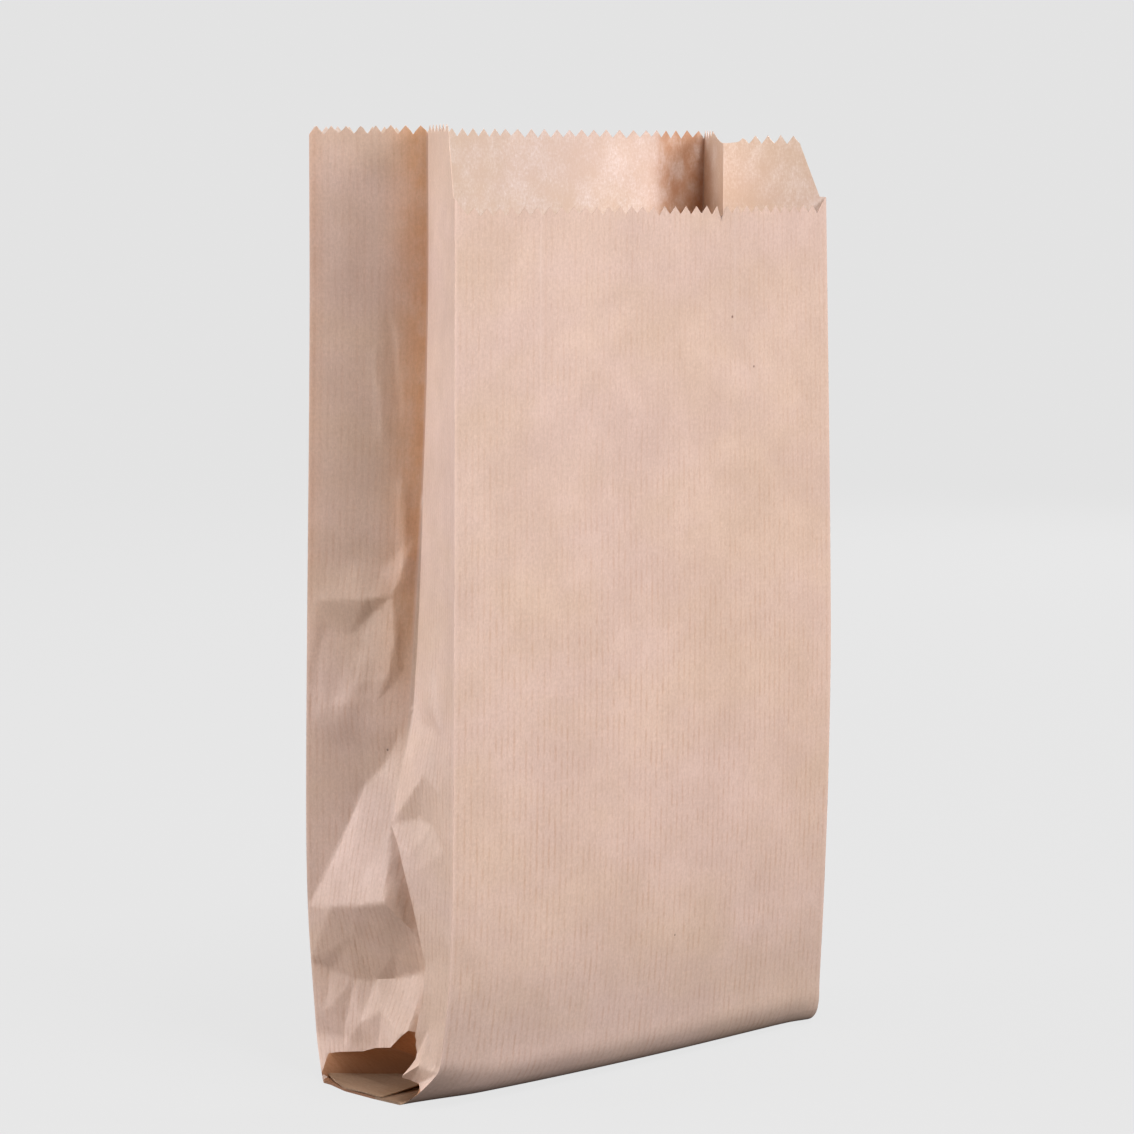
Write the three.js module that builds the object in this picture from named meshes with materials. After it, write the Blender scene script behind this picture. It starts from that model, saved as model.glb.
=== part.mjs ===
// Kraft paper bag, empty and standing open on its folded bottom.
// Millimetres, +Z up. The origin is on the floor under the middle of the bag, the front panel
// (the low, toothed lip) faces -Y and the two gussets are at -X and +X.
//
// One sheet makes the whole bag: front panel, right gusset, back panel, left gusset, and a pinched
// bottom whose two halves meet at a seam. At each side the gusset turns in above the bottom and
// leaves a wedge-shaped pocket that is open outwards.

import * as THREE from 'three';

// ---------------------------------------------------------------- driving dimensions

const PANEL_WIDTH = 200;
const HEIGHT = 344; // back panel and gussets, at the tips of the teeth
const LIP_HEIGHT = 315.5; // front panel, at the tips of the teeth
const PAPER = 0.5; // wall of the solid

const PANEL_TEETH = 34; // along the front and the back
const GUSSET_TEETH = 16; // along each gusset, half of them on each side of its middle fold
const TOOTH_DEPTH = 3;
const GUSSET_WIDTH = 94; // of the flat sheet, two halves of 47
const CORNER_TIP = 3; // how far the lip stands above its teeth at the two front corners
const CORNER_CUT = [2.9, 13]; // start and end of the slanting cut up from the lip, along the gusset
const BARE_EDGE = [0.4, 0.78]; // share of the right gusset, from the front, whose edge has no teeth

// How much lower the right gusset's edge stands: [share of the gusset from the front, drop].
const RIGHT_DROP = [[0, 2.6], [0.39, 2.6], [0.43, 4.8], [0.58, 4.6], [0.8, 0]];

const GUSSET_INSET = 23; // how far the middle fold is tucked in at the mouth
const BOTTOM_FOLD = 16; // height at which the panels start to curve under
const CREASE_END = 6; // height at which the upright folds reach the pocket
const POCKET_RIM = 17; // height of the pocket's opening
const POCKET_DEPTH = 28;
const FLAP = 1; // doubled paper along the pocket's floor
const SEAM_Y = -4; // where the two halves of the bottom meet

// Plan position of the upright folds at some heights: [height, x, y].
const FRONT_LEFT = [[16, -96.8, -34.5], [50, -96, -39], [120, -95.8, -41], [HEIGHT, -95.8, -43]];
const FRONT_RIGHT = [[16, 100.2, -29], [50, 100.4, -30.8], [100, 101, -32.2], [160, 101.4, -32.4], [HEIGHT, 101, -28]];
const BACK_LEFT = [[16, -94.8, 37.6], [62, -95, 41.8], [110, -94.4, 43], [270, -94, 39.6], [HEIGHT, -94.6, 38.2]];
const BACK_RIGHT = [[16, 99.4, 37.2], [66, 100.6, 41], [150, 102.4, 41.8], [HEIGHT, 104, 40.2]];

// Where the panels touch the floor, and how far the bottom's side edges stand out from there.
const FRONT_CONTACT = -16;
const BACK_CONTACT = 27;
const SIDE_CONTACT = PANEL_WIDTH / 2;
const SIDE_BULGE = 3;

// Inset of the gussets' middle fold at some heights, as a share of GUSSET_INSET.
const INSET_SHARE = [[16, 0.12], [60, 0.2], [100, 0.4], [122, 0.56], [153, 0.68], [216, 0.87], [285, 0.98], [HEIGHT, 1]];

// How far the panels bow out between their upright folds: [height, bow].
const FRONT_BOW = [[16, 3], [90, 3], [220, 3], [HEIGHT, 5]];
const BACK_BOW = [[16, 3], [90, 3], [220, 4], [HEIGHT, 7.5]];

// Heights of the rings of points down the walls, below the two that follow the cut edge.
const RING_HEIGHTS = [285, 240, 198, 172, 150, 128, 110, 96, 82, 69, 57, 46, 37];
const RINGS_TO_RIM = 3;
const POCKET_HEIGHTS = [4, 2.2, 0.9, 0]; // of the panels beside the pocket's roof, inner line and floor

// Tent-shaped folds of the crumpled gussets, in each gusset's own plane, with Y to the right and Z
// up: the ridge or valley line runs from one [y, z] to another, `out` is its height (inwards if
// negative), and `reach` is how far its flanks run on the line's left and on its right.
const LEFT_FOLDS = [
  { from: [-4, 99], to: [-19, 64], out: 5, reach: [5, 18] },
  { from: [-19, 64], to: [-25, 48], out: 3.5, reach: [5, 12] },
  { from: [-2, 95], to: [2, 66], out: -6, reach: [16, 7] },
  { from: [36, 66], to: [8, 70], out: 5, reach: [12, 26] },
  { from: [36, 47], to: [-16, 45], out: -5, reach: [12, 13] },
  { from: [-3, 37], to: [-8, 20], out: 3.5, reach: [12, 9] },
  { from: [30, 176], to: [-6, 178], out: 2, reach: [10, 20] },
  { from: [8, 166], to: [-4, 146], out: 2.5, reach: [10, 9] },
];
const RIGHT_FOLDS = [
  { from: [0, 108], to: [18, 70], out: 4.5, reach: [7, 16] },
  { from: [2, 92], to: [-4, 60], out: -5, reach: [9, 14] },
  { from: [34, 50], to: [-24, 56], out: -4, reach: [14, 12] },
  { from: [-26, 74], to: [-2, 70], out: 4, reach: [20, 12] },
  { from: [12, 36], to: [6, 20], out: 3, reach: [10, 10] },
  { from: [-20, 158], to: [10, 162], out: 2, reach: [18, 10] },
];

// ---------------------------------------------------------------- small helpers

const lerp = THREE.MathUtils.lerp;
const clamp = THREE.MathUtils.clamp;

/** Smooth value at a station of a short list of [station, ...values], for value number `k`. */
function track(list, station, k = 1) {
  const last = list.length - 1;
  if (station <= list[0][0]) return list[0][k];
  if (station >= list[last][0]) return list[last][k];
  let i = 0;
  while (station > list[i + 1][0]) i += 1;
  const slope = (a, b) => (list[b][k] - list[a][k]) / (list[b][0] - list[a][0]);
  const slopeAt = (j) => slope(Math.max(j - 1, 0), Math.min(j + 1, last));
  const span = list[i + 1][0] - list[i][0];
  const t = (station - list[i][0]) / span;
  const start = list[i][k];
  const end = list[i + 1][k];
  const h = t * t * (3 - 2 * t);
  return lerp(start, end, h) + span * t * (1 - t) * ((1 - t) * slopeAt(i) - t * slopeAt(i + 1));
}

/** 0 at both ends of a stretch and 1 in its middle, with straight sides. */
const tent = (s) => 1 - Math.abs(2 * s - 1);

/** Height of one fold at a point of a gusset's plane. */
function foldHeight({ from, to, out, reach }, y, z) {
  const dy = to[0] - from[0];
  const dz = to[1] - from[1];
  const length = Math.hypot(dy, dz);
  const along = ((y - from[0]) * dy + (z - from[1]) * dz) / length;
  const nearY = from[0] + (dy * clamp(along, 0, length)) / length;
  const nearZ = from[1] + (dz * clamp(along, 0, length)) / length;
  const isLeft = dy * (z - from[1]) > dz * (y - from[0]);
  const flank = isLeft ? reach[0] : reach[1];
  return out * Math.max(0, 1 - Math.hypot(y - nearY, z - nearZ) / flank);
}

// ---------------------------------------------------------------- the sheet's four sides

const SIDES = [
  { name: 'front', from: FRONT_LEFT, to: FRONT_RIGHT, teeth: PANEL_TEETH, perCell: 2 },
  { name: 'right', from: FRONT_RIGHT, to: BACK_RIGHT, teeth: GUSSET_TEETH, perCell: 1 },
  { name: 'back', from: BACK_RIGHT, to: BACK_LEFT, teeth: PANEL_TEETH, perCell: 2 },
  { name: 'left', from: BACK_LEFT, to: FRONT_LEFT, teeth: GUSSET_TEETH, perCell: 1 },
];
const isPanel = (side) => side.name === 'front' || side.name === 'back';
const sideSign = (side) => (side.name === 'right' ? 1 : -1);
const outwardY = (side) => (side.name === 'back' ? 1 : -1);

/** Share of a gusset's width, counted from the front panel. */
const fromFront = ({ side, share }) => (side.name === 'right' ? share : 1 - share);

/** Half-tooth steps round the bag: the side each one is on and its share of that side. */
function ringSteps(stepsPerTooth, teethPerStep) {
  const steps = [];
  for (const side of SIDES) {
    const count = Math.round((side.teeth * stepsPerTooth) / teethPerStep(side));
    for (let i = 0; i < count; i += 1) steps.push({ side, share: i / count });
  }
  return steps;
}
const TOOTH_STEPS = ringSteps(2, () => 1);
const CELL_STEPS = ringSteps(1, (side) => side.perCell);

/** How much of the quarter turn under the bag a panel has made at a height: 0 to 1. */
const turnUnder = (height) => 1 - Math.sqrt(1 - (1 - clamp(height / BOTTOM_FOLD, 0, 1)) ** 2);

/** A point of the wall's outer face, above the pocket. */
function wallPoint({ side, share }, height) {
  const at = Math.max(height, BOTTOM_FOLD);
  const x0 = track(side.from, at, 1);
  const x1 = track(side.to, at, 1);
  const y0 = track(side.from, at, 2);
  const y1 = track(side.to, at, 2);
  const point = new THREE.Vector3(lerp(x0, x1, share), lerp(y0, y1, share), height);
  if (isPanel(side)) {
    const bow = track(side.name === 'front' ? FRONT_BOW : BACK_BOW, at);
    point.y += outwardY(side) * bow * Math.sin(Math.PI * share);
  } else {
    const sharp = THREE.MathUtils.smoothstep(height, 40, 150);
    const profile = lerp(Math.sin(Math.PI * share), tent(share), sharp);
    const inset = GUSSET_INSET * track(INSET_SHARE, at) * profile;
    const folds = side.name === 'left' ? LEFT_FOLDS : RIGHT_FOLDS;
    const edge = clamp(6 * share * (1 - share), 0, 1);
    const crumple = folds.reduce((sum, fold) => sum + foldHeight(fold, point.y, height), 0);
    point.x += sideSign(side) * (edge * crumple - inset);
  }
  const corner = share === 0 || isPanel(side);
  if (corner && height < BOTTOM_FOLD) return curveUnder({ side, share }, point, turnUnder(height));
  return point;
}

/** A point of the line along which the sheet's outer face reaches the floor. */
function contactPoint({ side, share }) {
  const left = -SIDE_CONTACT;
  if (side.name === 'front') {
    const bow = track(FRONT_BOW, 0) * Math.sin(Math.PI * share);
    return new THREE.Vector3(lerp(left, SIDE_CONTACT, share), FRONT_CONTACT - bow, 0);
  }
  if (side.name === 'back') {
    const bow = track(BACK_BOW, 0) * Math.sin(Math.PI * share);
    return new THREE.Vector3(lerp(SIDE_CONTACT, left, share), BACK_CONTACT + bow, 0);
  }
  const along = fromFront({ side, share });
  const out = SIDE_CONTACT + SIDE_BULGE * Math.sin(Math.PI * along);
  return new THREE.Vector3(sideSign(side) * out, lerp(FRONT_CONTACT, BACK_CONTACT, along), 0);
}

/** Moves a point of the wall along the quarter turn to the floor. */
function curveUnder(step, point, turned) {
  const contact = contactPoint(step);
  point.x = lerp(point.x, contact.x, turned);
  point.y = lerp(point.y, contact.y, turned);
  return point;
}

/** A point of the line inside a pocket where its roof meets its floor. */
function pocketPoint({ side, share }, depth, height) {
  const along = fromFront({ side, share });
  const start = FRONT_CONTACT - 3;
  const end = BACK_CONTACT + 3;
  const y = along < 0.5 ? lerp(start, SEAM_Y, 2 * along) : lerp(SEAM_Y, end, 2 * along - 1);
  return new THREE.Vector3(sideSign(side) * (SIDE_CONTACT - depth * tent(share)), y, height);
}

/** Height of the cut edge, without its teeth: the low lip, the slanting cuts and the full height. */
function edgeHeight(step) {
  if (step.side.name === 'front') return LIP_HEIGHT + (step.share === 0 ? CORNER_TIP : 0);
  if (step.side.name === 'back') return HEIGHT;
  const along = fromFront(step);
  const top = HEIGHT - (step.side.name === 'right' ? track(RIGHT_DROP, along) : 0);
  const [start, end] = CORNER_CUT;
  const cut = clamp((along * GUSSET_WIDTH - start) / (end - start), 0, 1);
  return lerp(LIP_HEIGHT + CORNER_TIP, top, cut);
}

/** True where the edge has no teeth: the corners, their slanting cuts and the right gusset's bare stretch. */
function isPlainEdge(step) {
  if (isPanel(step.side)) return step.side.name === 'front' && step.share === 0;
  const along = fromFront(step);
  const slanting = along * GUSSET_WIDTH < CORNER_CUT[1];
  const bare = step.side.name === 'right' && along > BARE_EDGE[0] && along < BARE_EDGE[1];
  return slanting || bare;
}

// ---------------------------------------------------------------- rings of points

/** Outer face of the sheet: the toothed edge, then one ring after another down to the floor. */
function outerRings() {
  const teeth = TOOTH_STEPS.map((step, i) => {
    const notch = i % 2 === 0 && !isPlainEdge(step) ? TOOTH_DEPTH : 0;
    return wallPoint(step, edgeHeight(step) - notch);
  });
  const rings = [];
  const firstFull = RING_HEIGHTS[0];
  for (const part of [0, 0.5]) {
    rings.push(CELL_STEPS.map((step) => {
      const top = edgeHeight(step) - 2 * TOOTH_DEPTH;
      return wallPoint(step, lerp(top, firstFull, part));
    }));
  }
  for (const height of RING_HEIGHTS) rings.push(CELL_STEPS.map((step) => wallPoint(step, height)));
  const lowest = RING_HEIGHTS[RING_HEIGHTS.length - 1];
  for (let i = 1; i <= RINGS_TO_RIM; i += 1) {
    rings.push(CELL_STEPS.map((step) => {
      const gussetRim = lerp(CREASE_END, POCKET_RIM, Math.sqrt(Math.sin(Math.PI * step.share)));
      const end = isPanel(step.side) ? CREASE_END : gussetRim;
      return wallPoint(step, lerp(lowest, end, i / RINGS_TO_RIM));
    }));
  }
  return { teeth, rings };
}

/** Rings from the pocket's rim to the floor: the roof, its inner line and both lips of the floor. */
function pocketRings(rim, depth, floor) {
  return POCKET_HEIGHTS.map((height, k) => CELL_STEPS.map((step, i) => {
    if (isPanel(step.side) || step.share === 0) return wallPoint(step, height);
    const inner = pocketPoint(step, depth, floor + 0.4);
    if (k === 0) return rim[i].clone().lerp(inner, 0.5);
    if (k === 1) return inner;
    const edge = contactPoint(step);
    edge.z = k === 2 ? floor : 0;
    return edge;
  }));
}

/** Outline of the floor inside the bag, a little inside the pockets' inner lines. */
function innerFloorRing() {
  const height = FLAP + 0.2;
  return CELL_STEPS.map((step) => {
    if (!isPanel(step.side) && step.share > 0) return pocketPoint(step, POCKET_DEPTH + 2.5, height);
    const point = wallPoint(step, height);
    point.y = lerp(point.y, SEAM_Y, 0.1);
    return point;
  });
}

/** Mean direction out of the sheet at each point of a stack of rings. */
function ringNormals(rings) {
  const count = rings[0].length;
  return rings.map((ring, j) => ring.map((point, i) => {
    const across = ring[(i + 1) % count].clone().sub(ring[(i + count - 1) % count]);
    const above = rings[Math.max(j - 1, 0)][i];
    const below = rings[Math.min(j + 1, rings.length - 1)][i];
    return across.cross(above.clone().sub(below)).normalize();
  }));
}

// ---------------------------------------------------------------- triangles

/** Collects points and triangles of one closed surface. */
class Surface {
  constructor() {
    this.points = [];
    this.triangles = [];
  }

  /** Adds a list of points and returns their numbers. */
  add(points) {
    const first = this.points.length;
    this.points.push(...points);
    return points.map((_, i) => first + i);
  }

  /** Adds a triangle, turned round when the surface faces the other way. */
  triangle(a, b, c, flip) {
    this.triangles.push(flip ? [a, c, b] : [a, b, c]);
  }

  /** Joins two closed rings of equal length with a band. */
  band(upper, lower, flip) {
    const count = upper.length;
    for (let i = 0; i < count; i += 1) {
      const k = (i + 1) % count;
      this.triangle(upper[i], lower[i], lower[k], flip);
      this.triangle(upper[i], lower[k], upper[k], flip);
    }
  }

  /** Joins the toothed edge to the first ring, whose cells are each several half teeth wide. */
  toothBand(teeth, ring, flip) {
    let first = 0;
    CELL_STEPS.forEach((step, cell) => {
      const halfTeeth = 2 * step.side.perCell;
      const next = ring[(cell + 1) % ring.length];
      for (let i = 0; i < halfTeeth; i += 1) {
        const a = teeth[first + i];
        const b = teeth[(first + i + 1) % teeth.length];
        this.triangle(a, i < halfTeeth / 2 ? ring[cell] : next, b, flip);
      }
      this.triangle(teeth[first + halfTeeth / 2], ring[cell], next, flip);
      first += halfTeeth;
    });
  }

  /** Fills the last ring with a patch that runs from the front panel to the back panel. */
  fill(ring, flip) {
    const wide = PANEL_TEETH / 2;
    const deep = GUSSET_TEETH;
    const rim = (i, j) => {
      if (j === 0) return i;
      if (i === wide) return wide + j;
      if (j === deep) return wide + deep + (wide - i);
      return (2 * wide + deep + (deep - j)) % ring.length;
    };
    const onRim = (i, j) => i === 0 || j === 0 || i === wide || j === deep;
    const at = (i, j) => this.points[ring[rim(i, j)]];
    const number = [];
    for (let i = 0; i <= wide; i += 1) {
      number.push([]);
      for (let j = 0; j <= deep; j += 1) {
        if (onRim(i, j)) {
          number[i].push(ring[rim(i, j)]);
          continue;
        }
        const s = i / wide;
        const t = j / deep;
        const ruledX = at(0, j).clone().lerp(at(wide, j), s);
        const ruledY = at(i, 0).clone().lerp(at(i, deep), t);
        const nearSide = at(0, 0).clone().lerp(at(wide, 0), s);
        const farSide = at(0, deep).clone().lerp(at(wide, deep), s);
        const corners = nearSide.lerp(farSide, t);
        number[i].push(...this.add([ruledX.add(ruledY).sub(corners)]));
      }
    }
    for (let i = 0; i < wide; i += 1) {
      for (let j = 0; j < deep; j += 1) {
        this.triangle(number[i][j], number[i][j + 1], number[i + 1][j + 1], flip);
        this.triangle(number[i][j], number[i + 1][j + 1], number[i + 1][j], flip);
      }
    }
  }

  /** The finished geometry. */
  geometry() {
    const geometry = new THREE.BufferGeometry();
    geometry.setFromPoints(this.points);
    geometry.setIndex(this.triangles.flat());
    geometry.computeVertexNormals();
    return geometry;
  }
}

// ---------------------------------------------------------------- the bag

/** The whole bag as one thin closed solid. */
function bagGeometry() {
  const { teeth, rings } = outerRings();
  const rim = rings[rings.length - 1];
  const outer = [...rings, ...pocketRings(rim, POCKET_DEPTH, FLAP)];

  const inward = (points, normals) => points.map((p, i) => p.clone().addScaledVector(normals[i], -PAPER));
  const normals = ringNormals(outer);
  const wallCount = rings.length;
  const inner = outer.slice(0, wallCount + 1).map((ring, j) => inward(ring, normals[j]));
  inner.push(innerFloorRing());

  const surface = new Surface();
  const outerTeeth = surface.add(teeth);
  const outerNumbers = outer.map((ring) => surface.add(ring));
  const innerTeeth = surface.add(inward(teeth, ringNormals([teeth, teeth.map((p) => p.clone().setZ(p.z - 1))])[0]));
  const innerNumbers = inner.map((ring) => surface.add(ring));

  surface.toothBand(outerTeeth, outerNumbers[0], false);
  surface.toothBand(innerTeeth, innerNumbers[0], true);
  for (let j = 1; j < outerNumbers.length; j += 1) surface.band(outerNumbers[j - 1], outerNumbers[j], false);
  for (let j = 1; j < innerNumbers.length; j += 1) surface.band(innerNumbers[j - 1], innerNumbers[j], true);
  surface.band(innerTeeth, outerTeeth, false);
  surface.fill(outerNumbers[outerNumbers.length - 1], false);
  surface.fill(innerNumbers[innerNumbers.length - 1], true);
  return surface.geometry();
}

const kraftPaper = new THREE.MeshStandardMaterial({
  name: 'kraft_paper',
  color: new THREE.Color().setRGB(0.85, 0.72, 0.66, THREE.SRGBColorSpace),
  roughness: 0.72,
  metalness: 0,
});

const bag = new THREE.Mesh(bagGeometry(), kraftPaper);
bag.name = 'paper_bag';

const group = new THREE.Group();
group.add(bag);

export default group;
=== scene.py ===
"""Looks of an empty kraft paper bag that stands open on its folded bottom."""

import logging
import math
from dataclasses import dataclass
from enum import Enum

import bpy
import numpy as np
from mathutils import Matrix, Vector
from mathutils.geometry import delaunay_2d_cdt


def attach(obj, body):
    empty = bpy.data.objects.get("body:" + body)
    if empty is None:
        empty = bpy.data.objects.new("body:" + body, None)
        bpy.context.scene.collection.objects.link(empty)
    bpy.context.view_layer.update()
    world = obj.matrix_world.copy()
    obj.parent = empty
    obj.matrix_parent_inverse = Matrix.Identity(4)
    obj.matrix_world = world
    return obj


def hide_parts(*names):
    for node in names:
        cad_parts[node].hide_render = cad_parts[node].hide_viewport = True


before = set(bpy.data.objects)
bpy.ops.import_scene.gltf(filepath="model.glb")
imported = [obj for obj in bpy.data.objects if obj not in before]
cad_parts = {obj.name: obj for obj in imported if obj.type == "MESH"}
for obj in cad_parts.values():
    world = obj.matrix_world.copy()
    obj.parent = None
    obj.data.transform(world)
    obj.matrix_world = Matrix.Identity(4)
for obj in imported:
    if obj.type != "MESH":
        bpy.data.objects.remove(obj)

LOG = logging.getLogger("paper_bag")
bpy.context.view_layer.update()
MM = 0.001
SEED = 7
SAME_POINT = 0.00002
Stations = tuple[tuple[float, ...], ...]
Socket = bpy.types.NodeSocket


# ---------------------------------------------------------------- small helpers


def track(stations: Stations, at: np.ndarray, k: int = 1) -> np.ndarray:
    """Smooth values at some stations of a short table.

    Args:
        stations: Rows of a station and its values, in rising order.
        at: Stations to read.
        k: Number of the value in each row.

    Returns:
        The values, held constant past both ends.
    """
    place = np.array([row[0] for row in stations])
    value = np.array([row[k] for row in stations])
    at = np.clip(np.asarray(at, dtype=float), place[0], place[-1])
    i = np.clip(np.searchsorted(place, at, side="right") - 1, 0, len(place) - 2)
    before = np.maximum(np.arange(len(place)) - 1, 0)
    after = np.minimum(np.arange(len(place)) + 1, len(place) - 1)
    slope = (value[after] - value[before]) / (place[after] - place[before])
    span = place[i + 1] - place[i]
    t = (at - place[i]) / span
    h = t * t * (3 - 2 * t)
    bend = span * t * (1 - t) * ((1 - t) * slope[i] - t * slope[i + 1])
    return value[i] * (1 - h) + value[i + 1] * h + bend


def straight(stations: Stations, at: np.ndarray) -> np.ndarray:
    """Values at some stations of a short table, straight between its rows."""
    return np.interp(at, [row[0] for row in stations], [row[1] for row in stations])


def lerp(a: np.ndarray, b: np.ndarray, t: np.ndarray) -> np.ndarray:
    """Straight mix of two values."""
    return a + (b - a) * t


def smooth(x: np.ndarray, low: float, high: float) -> np.ndarray:
    """Smooth step from 0 at low to 1 at high."""
    t = np.clip((x - low) / (high - low), 0, 1)
    return t * t * (3 - 2 * t)


def tent(share: np.ndarray) -> np.ndarray:
    """0 at both ends of a stretch and 1 in its middle, with straight sides."""
    return 1 - np.abs(2 * share - 1)


class Cut(Enum):
    """What Blender's flat triangulation gives back.

    Attributes:
        HULL: Triangles out to the outermost points.
        INSIDE: Triangles inside the lines.
        LINES: The lines, cut where they cross, and the faces between them.
    """

    HULL = 0
    INSIDE = 1
    LINES = 2


def triangulate(points: list[Vector], lines: list[tuple[int, int]], cut: Cut,
                close: float) -> tuple[np.ndarray, list[list[int]]]:
    """Cuts a flat outline into faces along its lines.

    Args:
        points: Points to use.
        lines: Numbers of the ends of each line.
        cut: What to give back.
        close: Distance at which points count as one, in millimetres.

    Returns:
        Place of each point, and the points of each face.
    """
    flat, _, faces, _, _, _ = delaunay_2d_cdt(points, lines, [], cut.value, close)
    return np.array([tuple(p) for p in flat]), [list(face) for face in faces]


def ring_lines(count: int) -> list[tuple[int, int]]:
    """Numbers of the two ends of each line round a ring of points."""
    return [(k, (k + 1) % count) for k in range(count)]


# ---------------------------------------------------------------- creases


@dataclass(frozen=True)
class Wrinkle:
    """A soft ridge or dent along a line of a panel's own plane, in millimetres.

    Attributes:
        start: First end of the line, across and up.
        end: Second end of the line.
        out: Height, inwards if negative.
        wide: How far it fades out on the line's left and on its right.
    """

    start: tuple[float, float]
    end: tuple[float, float]
    out: float
    wide: tuple[float, float]

    def height(self, across: np.ndarray, up: np.ndarray) -> np.ndarray:
        """Height of the wrinkle at some points.

        Args:
            across: Places across the panel.
            up: Heights above the floor.

        Returns:
            Distance out of the panel.
        """
        dx, dz = self.end[0] - self.start[0], self.end[1] - self.start[1]
        length = math.hypot(dx, dz)
        along = ((across - self.start[0]) * dx + (up - self.start[1]) * dz) / length
        side = (dx * (up - self.start[1]) - dz * (across - self.start[0])) / length
        reach = np.where(side > 0, self.wide[0], self.wide[1])
        beyond = np.maximum(np.maximum(-along, along - length), 0)
        away = np.hypot(side, beyond) / reach
        return self.out * np.exp(-2.2 * away * away)


@dataclass(frozen=True)
class CreaseNet:
    """Crumpled sheet given by the corners of its facets and the creases between them.

    Attributes:
        corners: Name of each corner, its place across and up, and its depth, in millimetres.
        creases: Names along each crease line, with spaces between them.
    """

    corners: dict[str, tuple[float, float, float]]
    creases: tuple[str, ...]

    def facets(self) -> tuple[np.ndarray, np.ndarray, list[list[int]]]:
        """Splits the net into flat triangles.

        Returns:
            The corners' places, their depths, and the triangles.
        """
        names = list(self.corners)
        flat = [Vector(self.corners[name][:2]) for name in names]
        lines = []
        for crease in self.creases:
            ends = crease.split()
            lines += [(names.index(a), names.index(b)) for a, b in zip(ends, ends[1:])]
        points, _, faces, origin, _, _ = delaunay_2d_cdt(flat, lines, [], Cut.HULL.value, 1e-4)
        depth = []
        for point, source in zip(points, origin):
            nearest = min(range(len(flat)), key=lambda k: (flat[k] - point).length)
            depth.append(self.corners[names[source[0] if source else nearest]][2])
        return np.array([tuple(p) for p in points]), np.array(depth), [list(face) for face in faces]

    def depth(self, across: np.ndarray, up: np.ndarray, otherwise: np.ndarray) -> np.ndarray:
        """Depth at some points, straight between the corners.

        Args:
            across: Places across the gusset.
            up: Heights above the floor.
            otherwise: Values to keep outside the net.

        Returns:
            The depths.
        """
        points, depth, faces = self.facets()
        result = np.array(otherwise, dtype=float, copy=True)
        for a, b, c in faces:
            (x0, y0), (x1, y1), (x2, y2) = points[a], points[b], points[c]
            area = (x1 - x0) * (y2 - y0) - (x2 - x0) * (y1 - y0)
            if abs(area) < 1e-9:
                continue
            s = ((across - x0) * (y2 - y0) - (x2 - x0) * (up - y0)) / area
            t = ((x1 - x0) * (up - y0) - (across - x0) * (y1 - y0)) / area
            within = (s >= -1e-6) & (t >= -1e-6) & (s + t <= 1 + 1e-6)
            value = depth[a] + s * (depth[b] - depth[a]) + t * (depth[c] - depth[a])
            result = np.where(within, value, result)
        return result

    def edges(self) -> list[tuple[np.ndarray, np.ndarray]]:
        """Finds the edges of the facets.

        Returns:
            Both ends of each edge.
        """
        points, _, faces = self.facets()
        pairs = {tuple(sorted((f[k], f[k - 1]))) for f in faces for k in range(3)}
        return [(points[a], points[b]) for a, b in sorted(pairs)]


@dataclass(frozen=True)
class Crumple:
    """All creases of one gusset. Across is measured on the flat gusset from the back fold.

    Attributes:
        low: Folded lower end; depths are from the straight line between the upright folds.
        dents: Dents above it; depths are added to the plain fold.
        wrinkles: Softer wrinkles.
        lean: How far the middle fold leans to the front low down, as a share of the width.
    """

    low: CreaseNet
    dents: CreaseNet
    wrinkles: tuple[Wrinkle, ...]
    lean: float


def dent_border(top: float, fold: float) -> dict[str, tuple[float, float, float]]:
    """Corners round a gusset's dents and down its middle fold, from the height of the top one."""
    return {
        "o0": (-2, top, 0), "o1": (47, top, 0), "o2": (96, top, 0), "o3": (96, 112, 0),
        "o4": (47, 116, 0), "o5": (-2, 122, 0), "o6": (fold, 150, 0), "o7": (fold, 176, 0),
    }


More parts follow.
